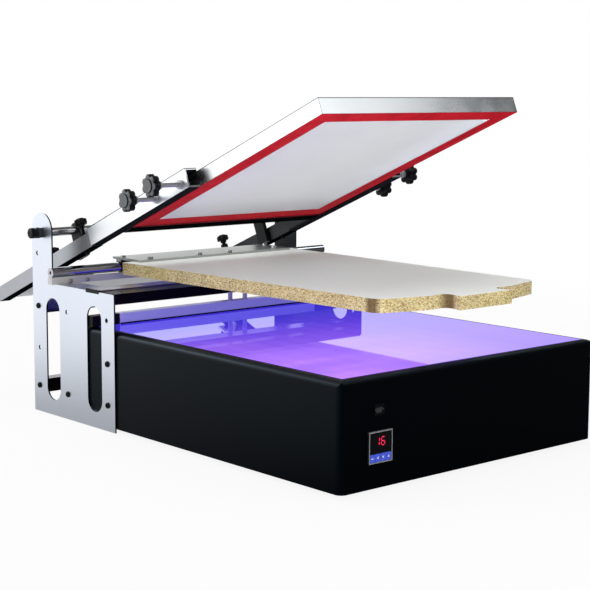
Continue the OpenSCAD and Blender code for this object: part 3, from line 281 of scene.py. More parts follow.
def brushed_steel(name, color, rough, grain=(1, 1, 1), scale=260, cloud=0.06, metal=1.0, relief=0.03):
    """Metal with soft cloudy patches, and fine lines in the direction where the grain is least."""
    s = Shader(name, color, metallic=metal, specular_ior_level=0.0)
    lines = s.noise(scale, grain, detail=4.0, roughness=0.65)
    light = tuple(min(1.0, c * (1.0 + cloud)) for c in color)
    dark = tuple(c * (1.0 - cloud) for c in color)
    shade = 1.0 - relief
    streak = s.blend(lines, (shade, shade, shade), WHITE, 0.35, 0.65)
    s.put("Base Color", s.mix(1.0, s.blend(s.noise(6), dark, light), streak, "MULTIPLY"))
    s.rough(lines, rough - relief, rough + relief)
    s.relief(lines, relief)
    return s


def coat_and_shade_over(s, where, tone):
    """Covers a part of a metal surface with a dark, non-metal tone: a dark coat on the shaft's collars,
    painted shade on the head parts' undersides.
    """
    s.repaint(where, tone)
    s.put("Metallic", s.math("SUBTRACT", 1.0, where, clamp=True))
    return s


def shade_painted_under(s, tone=(0.003, 0.004, 0.0045)):
    """Blackens a head part's underside with painted shade."""
    return coat_and_shade_over(s, s.span(s.facing(-UP), *TURNED), tone)


def shade_painted_inside(s, tone=(0.035, 0.037, 0.04), front=False):
    """Painted shade: darkens the faces that look toward the machine's middle, and with front also those
    that look forward.
    """
    inside = s.span(s.outward(), -TURNED[0], -TURNED[1])
    if front:
        inside = s.math("MAXIMUM", inside, s.span(s.facing(-Y_AXIS), *TURNED))
    s.repaint(inside, tone)
    return s


def painted_edge_shade(s, node):
    """Painted shade: greys a head part's rounded edges and a thin line along its upper edge."""
    square = 0.0
    for direction in (X_AXIS, FORWARD, UP):
        square = s.math("MAXIMUM", s.math("ABSOLUTE", s.facing(direction)), square)
    top = PIVOT.dot(UP) + reach(node, PIVOT, UP)[1]
    height = s.vector("DOT_PRODUCT", s.coordinates["Object"], UP)
    rim = s.math("MULTIPLY", s.span(height, top - 1.7 * MM, top - 1.2 * MM),
                 s.span(s.facing(UP), 0.9, 0.8))
    s.repaint(s.math("MAXIMUM", rim, s.span(square, 0.995, 0.96)), (0.16, 0.165, 0.175))
    return s


def shaft_steel():
    """Turned shaft, with darker stepped collars outside the plates."""
    s = brushed_steel("shaft_steel", (0.75, 0.75, 0.77), 0.24, (3, 1, 1), 300)
    left, right = face_x("left_plate", -1), face_x("right_plate", 1)
    far = (right - left) / 2
    from_middle = s.off(s.axis(0), (left + right) / 2)
    return coat_and_shade_over(s, s.span(from_middle, far - 0.2 * MM, far), (0.03, 0.035, 0.042))


def frame_aluminium():
    """Drawn aluminium with soft cloudy patches and the welded mitres at its four corners."""
    s = Shader("frame_aluminium", (0.9, 0.91, 0.93), metallic=1.0)
    draw = s.noise(200, ALONG_X, detail=4.0)
    cloud = s.noise(17)
    tone = s.blend(cloud, (0.86, 0.885, 0.91), (0.94, 0.955, 0.97), 0.35, 0.65)
    low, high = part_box("screen_frame")
    rear, front = reach("screen_frame", PIVOT, FORWARD)
    run = s.vector("DOT_PRODUCT", s.coordinates["Object"], FORWARD)
    lead = s.math("SUBTRACT", s.off(s.axis(0), (low.x + high.x) / 2),
                  s.off(run, PIVOT.dot(FORWARD) + (rear + front) / 2))
    gap = s.math("ADD", lead, ((front - rear) - (high.x - low.x)) / 2)
    seam = s.span(s.math("ABSOLUTE", gap), 0.5 * MM, 0.9 * MM, 1.0, 0.0)
    s.put("Base Color", s.mix(seam, tone, (0.42, 0.43, 0.44)))
    s.put("Roughness", s.math("ADD", s.span(cloud, 0.3, 0.7, 0.24, 0.34),
                              s.math("MULTIPLY", seam, 0.2)))
    s.relief(s.math("ADD", draw, seam), 0.015)
    return painted_edge_shade(s, "screen_frame")


def chrome():
    s = Shader("chrome", (0.58, 0.58, 0.61), metallic=1.0)
    s.put("Base Color", s.blend(s.noise(14, ALONG_X), (0.54, 0.54, 0.57), (0.62, 0.62, 0.65)))
    s.rough(s.noise(12, ALONG_X), 0.11, 0.15)
    return s


def lit_glass():
    """Exposure glass over its lamps: the opal sheet below it glows through in violet."""
    low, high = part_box("glass")
    deep = (0.048, 0.03, 0.6)
    bright = (0.19, 0.07, 0.9)
    warm = (0.56, 0.25, 1.0)
    s = Shader("lit_glass", (0.01, 0.008, 0.05), roughness=0.02, ior=1.52, emission_strength=1.0)
    to_right = s.span(s.axis(0), low.x, high.x)
    to_front = s.span(s.axis(1), high.y, low.y)
    near = s.math("MULTIPLY", s.span(to_front, 0.3, 0.8), s.span(to_right, 0.8, 0.1))
    smear = s.span(s.noise(5.5, (0.45, 1.5, 1)), 0.4, 0.66, 0.55, 1.0)
    tone = s.mix(s.math("MULTIPLY", near, smear), s.blend(to_front, deep, bright, 0.25, 0.75), warm)
    lamps = s.blend(s.bands(6.9), (0.94, 0.94, 0.94), WHITE, 0.0, 1.0)
    s.put("Emission Color", s.mix(1.0, tone, lamps, "MULTIPLY"))
    return s


def opal():
    s = Shader("opal", (0.85, 0.82, 0.98), roughness=0.5, emission_color=(0.2, 0.12, 0.9),
               emission_strength=0.6)
    s.relief(s.noise(900), 0.05)
    return s


def lamp_board():
    s = Shader("lamp_board", (0.86, 0.86, 0.9), roughness=0.45)
    s.put("Base Color", s.blend(s.cells(400)["Distance"], (0.8, 0.8, 0.86), (0.9, 0.9, 0.93), 0.2, 0.6))
    return s


def timer_bezel():
    s = Shader("timer_bezel", (0.4, 0.41, 0.4), metallic=0.6)
    metal = s.blend(s.noise(40), (0.42, 0.44, 0.42), (0.55, 0.52, 0.54))
    s.put("Base Color", s.blend(s.math("ABSOLUTE", s.facing(X_AXIS)), metal, (0.03, 0.032, 0.03), 0.5, 0.8))
    s.rough(s.noise(120, (1, 1, 0.1)), 0.3, 0.4)
    s.relief(s.noise(1800), 0.05)
    return s


def timer_window():
    s = Shader("timer_window", (0.004, 0.004, 0.005), specular_ior_level=0.2)
    s.rough(s.noise(90), 0.08, 0.16)
    return s


def timer_blue():
    # Painted glow: the blue panel is given emission though it is no lamp.
    s = Shader("timer_blue", (0.02, 0.09, 0.5), specular_ior_level=0.2,
               emission_color=(0.04, 0.065, 0.4), emission_strength=0.45)
    s.put("Base Color", s.blend(s.noise(300), (0.03, 0.055, 0.36), (0.05, 0.085, 0.5), 0.35, 0.65))
    s.rough(s.noise(100), 0.32, 0.42)
    return s


def rocker_gloss():
    s = Shader("rocker_gloss", (0.03, 0.03, 0.033))
    s.rough(s.noise(70), 0.16, 0.26)
    return s


def chipboard():
    """Pressed chips on the sawn edges, darker brown in the board's curves, a pale laminate above and below."""
    low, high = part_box("pallet_board")
    s = Shader("chipboard", (0.7, 0.6, 0.4), specular_ior_level=0.25)
    chip, grit = [s.node("ShaderNodeSeparateColor", {0: s.cells(*size)["Color"]}).outputs[0]
                  for size in ((430, (1, 1, 1.7)), (1150, (1, 1, 1.5)))]
    wood = s.ramp(s.math("ADD", s.math("MULTIPLY", chip, 0.55), s.math("MULTIPLY", grit, 0.45)), [
        (0.12, (0.12, 0.06, 0.02)), (0.25, (0.44, 0.3, 0.115)), (0.44, (0.66, 0.52, 0.225)),
        (0.66, (0.78, 0.67, 0.35)), (0.9, (0.92, 0.86, 0.6))])
    cloud = s.span(s.noise(22), 0.3, 0.7, 0.88, 1.06)
    shade = s.node("ShaderNodeCombineColor", {0: cloud, 1: cloud, 2: cloud}).outputs[0]
    # Darker brown bands round the shoulder and notch curves
    curve_darkening = 0.0
    curve_dark_r = 13 * MM
    side = s.off(s.axis(0), (low.x + high.x) / 2)
    plan = s.node("ShaderNodeCombineXYZ", {0: side, 1: s.axis(1)}).outputs[0]
    for from_middle, from_front in ((182.5 * MM, 78 * MM), (60.5 * MM, 34 * MM)):
        gap = s.vector("DISTANCE", plan, (from_middle, HOUSING_LOW.y + from_front, 0))
        curve_darkening = s.math("MAXIMUM", s.span(gap, curve_dark_r * 0.45, curve_dark_r * 1.1, 0.86, 0.0), curve_darkening)
    edge = s.mix(curve_darkening, s.mix(1.0, wood, shade, "MULTIPLY"), (0.125, 0.074, 0.026))
    face = s.blend(s.noise(1200, detail=2.0), (0.81, 0.845, 0.81), (0.86, 0.89, 0.86), 0.42, 0.6)
    face = s.blend(s.noise(7), face, (0.84, 0.87, 0.83))
    flat = s.span(s.math("ABSOLUTE", s.axis(2, "Normal")), 0.6, 0.75)
    s.put("Base Color", s.mix(flat, edge, face))
    s.put("Roughness", s.span(flat, 0.0, 1.0, 0.85, 0.5))
    chips = s.math("MULTIPLY", s.math("SUBTRACT", 1.0, flat), s.math("ADD", chip, grit))
    s.relief(chips, 0.35, 0.3 * MM)
    return s


def mesh_cloth():
    """Fine polyester weave: two crossed sets of threads, half a millimetre apart. Light passes
    between the threads."""
    s = Shader("mesh_cloth", (0.8, 0.81, 0.85), specular_ior_level=0.06, transmission_weight=0.6,
               ior=1.05, roughness=0.6)
    weave = s.math("MULTIPLY", s.bands(320.0, "X"), s.bands(320.0, "Y"))
    base = s.blend(s.noise(9), (0.86, 0.865, 0.9), (0.9, 0.905, 0.93))
    s.put("Base Color", s.mix(s.math("MULTIPLY", weave, 0.12), base, (0.66, 0.67, 0.72)))
    s.relief(weave, 0.06)
    return s


def red_tape():
    s = Shader("red_tape", (0.7, 0.009, 0.02), specular_ior_level=0.02)
    wrinkle = s.noise(26, detail=4.0)
    s.put("Base Color", s.blend(wrinkle, (0.5, 0.007, 0.018), (0.68, 0.011, 0.028)))
    s.rough(s.noise(90), 0.42, 0.55)
    s.relief(wrinkle, 0.12, 0.4 * MM)
    return s


def red_digits():
    s = Shader("red_digits", (0.5, 0.01, 0.03), roughness=0.4, emission_strength=1.0)
    s.put("Emission Color", s.blend(s.noise(700), (0.72, 0.006, 0.07), (0.9, 0.015, 0.1)))
    return s


def pale_ink(name, tone):
    s = Shader(name, (tone, tone * 1.04, tone * 1.15), specular_ior_level=0.2)
    s.rough(s.noise(200), 0.45, 0.6)
    return s


def make_materials():
    """Material of each slot, and of the grips with their painted reflection."""
    plate = brushed_steel("brushed_plate", (0.79, 0.84, 0.93), 0.3, (1, 1, 0.06), 420, 0.015, relief=0.012)
    arm = brushed_steel("arm_grey", (0.43, 0.445, 0.475), 0.34, (1, 0.1, 0.1))
    channel = brushed_steel("channel_pale", (0.92, 0.95, 0.99), 0.3, (1, 0.1, 0.1), 500, 0.01, relief=0.003)
    channel = shade_painted_inside(painted_edge_shade(channel, "channel_left"), (0.012, 0.013, 0.014))
    made = {
        "housing_black": dark_coat("powder_coat", (0.0007, 0.0009, 0.0014), 0.12, (0.3, 0.38), 5, 4.0, 900,
                                   specular_tint=(0.4, 0.7, 1.0)),
        "plate_steel": shade_painted_inside(plate, front=True),
        "bar_black": satin_black("bar_black", (0.0012, 0.0012, 0.0014), 0.2, 0.06),
        "bare_steel": brushed_steel("bare_steel", (0.6, 0.6, 0.62), 0.28, (0.08, 1, 1), metal=0.85),
        "tube_aluminium": brushed_steel("tray_aluminium", (0.78, 0.79, 0.81), 0.35, ALONG_X),
        "arm_grey": shade_painted_under(shade_painted_inside(arm)),
        "channel_white": shade_painted_under(channel, (0.014, 0.015, 0.017)),
        "frame_aluminium": frame_aluminium(),
        "rail_chrome": chrome(),
        "screw_black": satin_black("screw_black", (0.004, 0.0045, 0.0055), 0.3, 0.15),
        "knob_plastic": knob_plastic("knob_plastic", 0.2, 0.34),
        "rubber_black": dark_coat("rubber", (0.008, 0.008, 0.009), 0.12, (0.55, 0.7), 80, grain=1500,
                                  relief=0.2, depth=0.2 * MM),
        "exposure_glass": lit_glass(),
        "opal_plastic": opal(),
        "lamp_board": lamp_board(),
        "timer_bezel": timer_bezel(),
        "timer_window": timer_window(),
        "timer_blue": timer_blue(),
        "rocker_grey": rocker_gloss(),
        "board_laminate": chipboard(),
        "mesh_fabric": mesh_cloth(),
        "tape_red": red_tape(),
        "grip": grip_plastic(),
    }
    return {name: shader.material for name, shader in made.items()}


def node_materials():
    """Materials of the nodes that look unlike the others in their slot."""
    drawn = (0.05, 1, 1)
    made = {
        "mid_cross_tube": brushed_steel("polished_tube", (0.62, 0.6, 0.68), 0.3, (0.02, 1, 1)),
        "pivot_shaft": shaft_steel(),
        "pallet_plate": brushed_steel("zinc_plate", (0.55, 0.57, 0.555), 0.36, (0.3, 1, 1), 240),
        "rail_bed": brushed_steel("bed_steel", (0.66, 0.65, 0.66), 0.42, (0.06, 1, 1), 240, metal=0.2),
        "low_bar": brushed_steel("bar_steel", (0.95, 0.94, 0.97), 0.2, drawn, 240, 0.03, metal=0.35),
        "stop_blocks": satin_black("flat_black", (0.004, 0.004, 0.0045), 0.4, 0.12),
        "rear_ties": brushed_steel("tie_steel", (0.13, 0.13, 0.17), 0.2, drawn, 240, 0.03),
        "tail_tie": brushed_steel("tail_tie_steel", (0.8, 0.8, 0.82), 0.34, drawn, 240, 0.03, metal=0.3),
        "pallet_levellers": brushed_steel("leveller_steel", (0.72, 0.72, 0.74), 0.3, (1, 1, 0.2),
                                          metal=0.3),
        "rocker_frame": knob_plastic("switch_frame", 0.08, 0.4),
    }
    return {name: shader.material for name, shader in made.items()}


# Rounding of the CAD nodes' sharp edges, in mm
EDGE_WIDTHS = {
    0.3: ("base_plate", "left_plate", "right_plate", "rocker_frame"),
    0.4: ("rail_bed", "rail", "pallet_board", "pallet_plate", "rail_collars", "pivot_lugs", "timer_case",
          "rocker", "timer_key_1", "timer_key_2", "timer_key_3", "timer_key_4"),
    0.5: ("housing", "mid_cross_tube", "low_bar", "pallet_hubs", "tail_arm_left", "tail_arm_right",
          "cross_bar", "tail_tie", "power_inlet", "stop_blocks", "rear_ties"),
    0.6: ("front_cross_tube",),
    1.0: ("channel_left", "channel_right", "screen_frame"),
}


def dress_nodes(made, special):
    for name, node in NODES.items():
        for slot in node.material_slots:
            slot.material = special.get(name, made[SLOTS[name]])
    for width, names in EDGE_WIDTHS.items():
        for name in names:
            bevel = NODES[name].modifiers.new("soft_edges", "BEVEL")
            bevel.width = width * MM
            bevel.segments = 2
            bevel.limit_method = "ANGLE"
            bevel.angle_limit = SHARP_ANGLE
            bevel.use_clamp_overlap = True


# Pieces


BOX_FACES = ((0, 1, 3, 2), (4, 6, 7, 5), (0, 4, 5, 1), (2, 3, 7, 6), (0, 2, 6, 4), (1, 5, 7, 3))


class Piece:
    """A mesh that is put together from turned rings, straight blocks and boxes."""

    def __init__(self, name):
        self.name = name
        self.mesh = bmesh.new()

    def skin(self, rows, closed=False):
        """Joins rows of points all the way round. A closed skin ends where it starts, and an
        open one has a cap at each end."""
        rows = [[self.mesh.verts.new(point) for point in row] for row in rows]
        for low, high in zip(rows, rows[1:] + rows[:1] if closed else rows[1:]):
            for i in range(len(low)):
                j = (i + 1) % len(low)
                self.mesh.faces.new((low[i], low[j], high[j], high[i]))
        if not closed:
            self.mesh.faces.new(rows[0][::-1])
            self.mesh.faces.new(rows[-1])

    def lathe(self, rings, place, segments=36, closed=False):
        """Turned form: each ring has a height and a radius, or a function of the angle for one."""
        rows = []
        for height, radius in rings:
            row = []
            for i in range(segments):
                angle = 2 * math.pi * i / segments
                r = radius(angle) if callable(radius) else radius
                row.append(place @ Vector((r * math.cos(angle), r * math.sin(angle), height)))
            rows.append(row)
        self.skin(rows, closed)

    def loop(self, outline, low, high, place):
        """Straight block over a flat outline, from low to high along the place's Z."""
        self.skin([[place @ Vector((x, y, z)) for x, y in outline] for z in (low, high)])

    def box(self, xs, ys, zs, place=lambda *spot: spot):
        v = [self.mesh.verts.new(place(x, y, z)) for x in xs for y in ys for z in zs]
        for face in BOX_FACES:
            self.mesh.faces.new([v[i] for i in face])

    def finish(self, material, body, replaces=()):
        bmesh.ops.recalc_face_normals(self.mesh, faces=self.mesh.faces)
        data = bpy.data.meshes.new(self.name)
        self.mesh.to_mesh(data)
        self.mesh.free()
        data.shade_smooth()
        data.set_sharp_from_angle(angle=SHARP_ANGLE)
        data.materials.append(material)
        made = in_scene(self.name, data)
        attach(made, body)
        if replaces:
            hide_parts(*replaces)


def along(origin, axis):
    """Places Z along an axis from a point."""
    return Matrix.Translation(origin) @ Vector(axis).to_track_quat("Z", "Y").to_matrix().to_4x4()


def facing_front(y):
    """Stands a flat outline upright at a Y, with its Z toward the front."""
    return Matrix(((1, 0, 0, 0), (0, 0, -1, y), (0, 1, 0, 0), (0, 0, 0, 1)))


def head_place(x, run, height):
    """Point at an X, a distance along the arms from the pivot and a height above it."""
    return Vector((x, PIVOT.y, PIVOT.z)) + FORWARD * run + UP * height


def face_x(node, sign):
    """X of a node's left face for -1, or of its right face for 1."""
    low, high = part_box(node)
    return low.x if sign < 0 else high.x


def body_of(node):
    return NODES[node]["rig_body"]


def spread(points, axis, origin=Vector()):
    """Lowest and highest distance of points from an origin along an axis."""
    spots = [(p - origin).dot(axis) for p in points]
    return min(spots), max(spots)


def reach(node, origin, axis):
    return spread([v.co for v in NODES[node].data.vertices], axis, origin)


def centre(points):
    return Vector([sum(spread(points, axis)) / 2 for axis in Matrix.Identity(3)])


def solids(node):
    """Points of each separate solid in a node, from left to right and front to rear."""
    data = NODES[node].data
    spots = [tuple(round(c, 6) for c in v.co) for v in data.vertices]
    group = {p: p for p in spots}

    def root(p):
        while group[p] != p:
            group[p] = group[group[p]]
            p = group[p]
        return p

    for face in data.polygons:
        for index in face.vertices[1:]:
            group[root(spots[index])] = root(spots[face.vertices[0]])
    found = {}
    for p in sorted(group):
        found.setdefault(root(p), []).append(Vector(p))
    return sorted(found.values(), key=lambda points: tuple(points[0]))


# Sizes of the small parts
ROD_D = 8 * MM
NUT_FLATS = 13 * MM
CLAMP_GRIP_D = 39 * MM
CLAMP_GRIP_L = 22 * MM
CLAMP_LOBES = 7
STAR_GRIP_D = 25 * MM
STAR_GRIP_L = 16 * MM
STAR_LOBES = 6
STAR_NUT_FLATS = 12.8 * MM
BUTTON_D = 10.96 * MM
SOCKET_FLATS = 4 * MM
WASHER_D = 16 * MM
WASHER_H = 1.5 * MM
LEVELLER_D = 9 * MM
LEVELLER_NUT_FLATS = 14.4 * MM
END_GRIP_RIBS = 18
PLATE_EDGE_Z = 235 * MM
TAPE_W = 33.5 * MM


def hexagon(flats):
    """Radius of a hexagon by its width across flats."""
    def radius(angle):
        turn = (angle + math.pi / 6) % (math.pi / 3) - math.pi / 6
        return flats / 2 / math.cos(turn)
    return radius


def nut_rings(flats, low, high):
    """Hexagon nut, turned down to a circle at both ends."""
    step = (high - low) * 0.14
    return [(low, flats / 2), (low + step, hexagon(flats)), (high - step, hexagon(flats)),
            (high, flats / 2)]


def star(d, lobes, inset=0.0):
    """Radius of a grip with rounded lobes, drawn in by the inset."""
    lobe_r = d * 0.16 - inset
    lobe_at = d / 2 - d * 0.16
    core = d * 0.38 - inset

    def radius(angle):
        step = 2 * math.pi / lobes
        turn = (angle + step / 2) % step - step / 2
        side = lobe_at * math.sin(turn)
        if abs(side) >= lobe_r:
            return core
        return max(core, lobe_at * math.cos(turn) + math.sqrt(lobe_r ** 2 - side ** 2))
    return radius


def star_knob(piece, d, low, high, lobes, place):
    """Moulded star grip from its boss at low to its capped face at high."""
    h = high - low
    boss = low + h * 0.3
    face = high - h * 0.12
    roll = h * 0.11
    rings = [(low, d * 0.235), (low + h * 0.03, d * 0.25), (boss - h * 0.03, d * 0.25)]
    for share in (1.0, 0.55, 0.2, 0.0):
        rise = roll * (1 - math.sqrt(1 - (1 - share) ** 2)) * 0.6
        rings.append((boss + rise, star(d, lobes, roll * share * 0.8)))
    rings.append((face - roll, star(d, lobes)))
    for share in (0.2, 0.55, 1.0):
        rings.append((face - roll * (1 - share), star(d, lobes, roll * share ** 2 * 0.9)))
    rings += [(face + h * 0.01, d * 0.31), (high - h * 0.04, d * 0.3), (high, d * 0.27),
              (high - h * 0.02, d * 0.22), (high - h * 0.02, d * 0.05)]
    piece.lathe(rings, place, segments=lobes * 14)


def threaded_rod(piece, d, low, high, place, pitch=1.25 * MM, cut=0.4 * MM):
    """Rod with a helical thread between its chamfered ends."""
    radius = d / 2
    steps = max(2, int((high - low) / pitch * 4))

    def ridge(height):
        def at(angle):
            phase = (height / pitch - angle / (2 * math.pi)) % 1.0
            return radius - cut * abs(2 * phase - 1)
        return at
    heights = [low + (high - low) * i / steps for i in range(1, steps)]
    ends = [(low, radius - cut * 1.5), (high, radius - cut * 1.5)]
    piece.lathe(ends[:1] + [(height, ridge(height)) for height in heights] + ends[1:], place, 16)


def button_screw(piece, place, head_d, head_h, socket, shank_d, shank_l):
    """Domed screw head on its seat, with a hexagon socket and a plain shank."""
    r = head_d / 2
    rings = []
    if shank_l:
        rings += [(-shank_l, shank_d * 0.4), (-shank_l + shank_d * 0.1, shank_d / 2), (0, shank_d / 2)]
    rings += [(0, r * 0.95), (head_h * 0.15, r)]
    for step in (15, 30, 45, 60, 75):
        turn = math.radians(step)
        rings.append((head_h * (0.15 + 0.85 * math.sin(turn)), r * (0.58 + 0.42 * math.cos(turn))))
    rings += [(head_h, r * 0.6), (head_h, hexagon(socket)), (head_h * 0.35, hexagon(socket * 0.97))]
    piece.lathe(rings, place)


def hex_bolt(piece, place, flats, head_h, shank_d, shank_l, nut_h):
    """Hexagon bolt with its washer on the seat, a shank below and a nut at the shank's end."""
    washer_h = head_h * 0.24
    washer_r = flats * 1.15 / 2
    rings = [(-shank_l, shank_d * 0.42), (-shank_l + shank_d * 0.08, shank_d / 2)]
    if nut_h:
        rings = [(-shank_l, shank_d * 0.5)] + nut_rings(flats, -shank_l, -shank_l + nut_h)
    rings += [(0, shank_d / 2), (0, washer_r * 0.96), (washer_h * 0.3, washer_r), (washer_h, washer_r)]
    rings += nut_rings(flats, washer_h, head_h)
    rings += [(head_h, flats * 0.4), (head_h * 0.94, flats * 0.36)]
    piece.lathe(rings, place)


def clamp_screws(made):
    """Side clamps: star grip, threaded rod and the nut between them."""
    for corner in CORNERS:
        node = f"clamp_screw_{corner}"
        body = f"screw_{corner}"
        inward = Vector((-OUTWARD[corner.split("_")[0]], 0, 0))
        origin = Vector(JOINTS[f"{corner}_screw_turn"]["pos_m"])
        low, high = reach(node, origin, -inward)
        place = along(origin, -inward)
        neck = high - CLAMP_GRIP_L
        nut_low, nut_high = neck - 5 * MM, neck - 0.2 * MM
        grip = Piece(f"clamp_grip_{corner}")
        star_knob(grip, CLAMP_GRIP_D, neck, high, CLAMP_LOBES, place)
        grip.finish(made["grip"], body, (node,))
        rod = Piece(f"clamp_rod_{corner}")
        threaded_rod(rod, ROD_D, low, high - CLAMP_GRIP_L * 0.7, place)
        rod.lathe(nut_rings(NUT_FLATS, nut_low, nut_high), place)
        rod.finish(made["bare_steel"], body)


def star_screws(made):
    """Height and tail screws: star grip above, threaded rod below with its lock nut, which
    stands on the part that the screw runs in."""
    play = 0.3 * MM
    rod_in_grip = STAR_GRIP_L - 9 * MM
    for kind, carrier, nut_h in (("height", "tail_arm_left", 6 * MM), ("tail", "tail_tie", 10 * MM)):
        seat = reach(carrier, PIVOT, UP)[1] + play
        for side in OUTWARD:
            node = f"{kind}_screw_{side}"
            body = f"{side}_{kind}_screw"
            origin = Vector(JOINTS[f"{body}_turn"]["pos_m"])
            low, high = reach(node, origin, UP)
            place = along(origin, UP)
            grip = Piece(f"{kind}_grip_{side}")
            star_knob(grip, STAR_GRIP_D, high - STAR_GRIP_L, high, STAR_LOBES, place)
            grip.finish(made["knob_plastic"], body, (node,))
            rod = Piece(f"{kind}_rod_{side}")
            threaded_rod(rod, ROD_D, low, high - STAR_GRIP_L + rod_in_grip, place)
            rod.lathe(nut_rings(STAR_NUT_FLATS, seat, seat + nut_h), place)
            rod.finish(made["screw_black"], body)


def plate_screws(made):
    """Black button screws on the side plates, and the light bolts of the rail's saddles."""
    buttons = Piece("plate_buttons")
    bolts = Piece("saddle_bolts")
    button_shank_d, button_shank_l = 6 * MM, 10 * MM
    bolt_socket, bolt_shank_d = 3.4 * MM, 4.6 * MM
    for points in solids("frame_screws"):
        middle = centre(points)
        low, high = spread(points, Y_AXIS)
        left, right = spread(points, X_AXIS)
        if right - left > high - low:
            side = "left" if middle.x < 0 else "right"
            outward = Vector((OUTWARD[side], 0, 0))
            seat = face_x(f"{side}_plate", OUTWARD[side])
            head_h = spread(points, outward, Vector((seat, 0, 0)))[1]
            place = along(Vector((seat, middle.y, middle.z)), outward)
            button_screw(buttons, place, BUTTON_D, head_h, SOCKET_FLATS, button_shank_d, button_shank_l)
        else:
            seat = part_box("rail_bed")[0].y
            place = along(Vector((middle.x, seat, middle.z)), -Y_AXIS)
            button_screw(bolts, place, right - left, seat - low, bolt_socket, bolt_shank_d, high - seat)
    buttons.finish(made["screw_black"], "stand", ("frame_screws",))
    bolts.finish(made["bare_steel"], "stand", ("frame_screws",))


def head_screws(made):
    """Washers and nuts that the clamp screws run in, and the black screws on the channels."""
    nuts = Piece("clamp_nuts")
    tops = Piece("channel_screws")
    bore = ROD_D / 2 + 0.25 * MM
    rim = 0.2 * MM
    nut_low = WASHER_H + 0.05 * MM
    for points in solids("head_fasteners"):
        middle = centre(points)
        low, high = spread(points, UP)
        left, right = spread(points, X_AXIS)
        if high - low > right - left:
            seat, outward = (right, -X_AXIS) if middle.x < 0 else (left, X_AXIS)
            place = along(Vector((seat, middle.y, middle.z)), outward)
            nuts.lathe([(0, bore), (0, WASHER_D / 2 - rim), (rim, WASHER_D / 2),
                        (WASHER_H, WASHER_D / 2), (WASHER_H, bore)], place, closed=True)
            rings = nut_rings(NUT_FLATS, nut_low, right - left)
            nuts.lathe([(nut_low, bore)] + rings + [(right - left, bore)], place, closed=True)
        else:
            place = along(middle - UP * ((high - low) / 2), UP)
            button_screw(tops, place, right - left, high - low, SOCKET_FLATS, 0, 0)
    nuts.finish(made["bare_steel"], "head", ("head_fasteners",))
    tops.finish(made["screw_black"], "head", ("head_fasteners",))


def board_bolts(made):
    """Hexagon bolts through the pallet, with nuts below, and the smaller ones that hold its hubs."""
    bolts = Piece("board_bolts")
    through = 20 * MM
    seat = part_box("pallet_plate")[1].z
    for points in solids("pallet_bolts"):
        middle = centre(points)
        low, high = spread(points, Z_AXIS)
        rear, front = spread(points, Y_AXIS)
        shank_d, nut_h = (6 * MM, 3 * MM) if high - low > through else (4.6 * MM, 0.0)
        place = along(Vector((middle.x, middle.y, seat)), Z_AXIS)
        hex_bolt(bolts, place, front - rear, high - seat, shank_d, seat - low, nut_h)
    bolts.finish(made["bare_steel"], body_of("pallet_bolts"), ("pallet_bolts",))


def leveller_rods(special):
    """Threaded rods that the pallet comes to rest on, with their nuts."""
    rods = Piece("leveller_rods")
    for points in solids("pallet_levellers"):
        middle = centre(points)
        low, high = spread(points, Z_AXIS)
        place = along(Vector((middle.x, middle.y, 0)), Z_AXIS)
        nut = [p for p in points if math.hypot(p.x - middle.x, p.y - middle.y) > LEVELLER_D * 0.6]
        threaded_rod(rods, LEVELLER_D, low, high, place, 1.5 * MM, 0.45 * MM)
        if nut:
            rods.lathe(nut_rings(LEVELLER_NUT_FLATS, *spread(nut, Z_AXIS)), place)
    rods.finish(special["pallet_levellers"], "stand", ("pallet_levellers",))


def end_grips(made):
    """Knurled black knobs on the pivot shaft's ends."""
    flute = 0.35 * MM
    bore = 8.1 * MM

    def fluted(out):
        return lambda angle: out - flute * (0.5 - 0.5 * math.cos(END_GRIP_RIBS * angle))

    for side, sign in OUTWARD.items():
        node = f"end_knob_{side}"
        low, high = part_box(node)
        length = high.x - low.x
        r = (high.z - low.z) / 2
        place = along(Vector((face_x(node, -sign), PIVOT.y, PIVOT.z)), Vector((sign, 0, 0)))
        rings = [(0, bore), (0, r * 0.9), (0.6 * MM, fluted(r)), (length - 1.6 * MM, fluted(r)),
                 (length - 0.7 * MM, fluted(r * 0.95)), (length - 0.2 * MM, r * 0.84), (length, r * 0.74),
                 (length, r * 0.3), (length - 0.8 * MM, r * 0.24)]
        grip = Piece(f"end_grip_{side}")
        grip.lathe(rings, place, END_GRIP_RIBS * 6)
        grip.finish(made["knob_plastic"], body_of(node), (node,))


def tube_caps(made):
    """Black plastic flaps of the middle tube's caps, folded over the plates' top edges."""
    caps = Piece("tube_cap_flaps")
    low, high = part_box("mid_cross_tube")
    play = 0.03 * MM
    thick = 0.4 * MM
    edge = HOUSING_LOW.z + PLATE_EDGE_Z + 0.05 * MM
    flap = edge - 3.5 * MM
    to_rear = Matrix(((1, 0, 0, 0), (0, 0, 1, 0), (0, 1, 0, 0), (0, 0, 0, 1)))
    for side, sign in OUTWARD.items():
        face = face_x(f"{side}_plate", sign)
        tip = face_x("mid_cross_tube", sign)
        near = face + sign * play
        far = face + sign * thick
        outline = [(far, flap), (near, flap), (near, edge), (tip, edge), (tip, high.z), (far, high.z)]
        caps.loop(outline, low.y, high.y, to_rear)
    caps.finish(made["screw_black"], "stand")


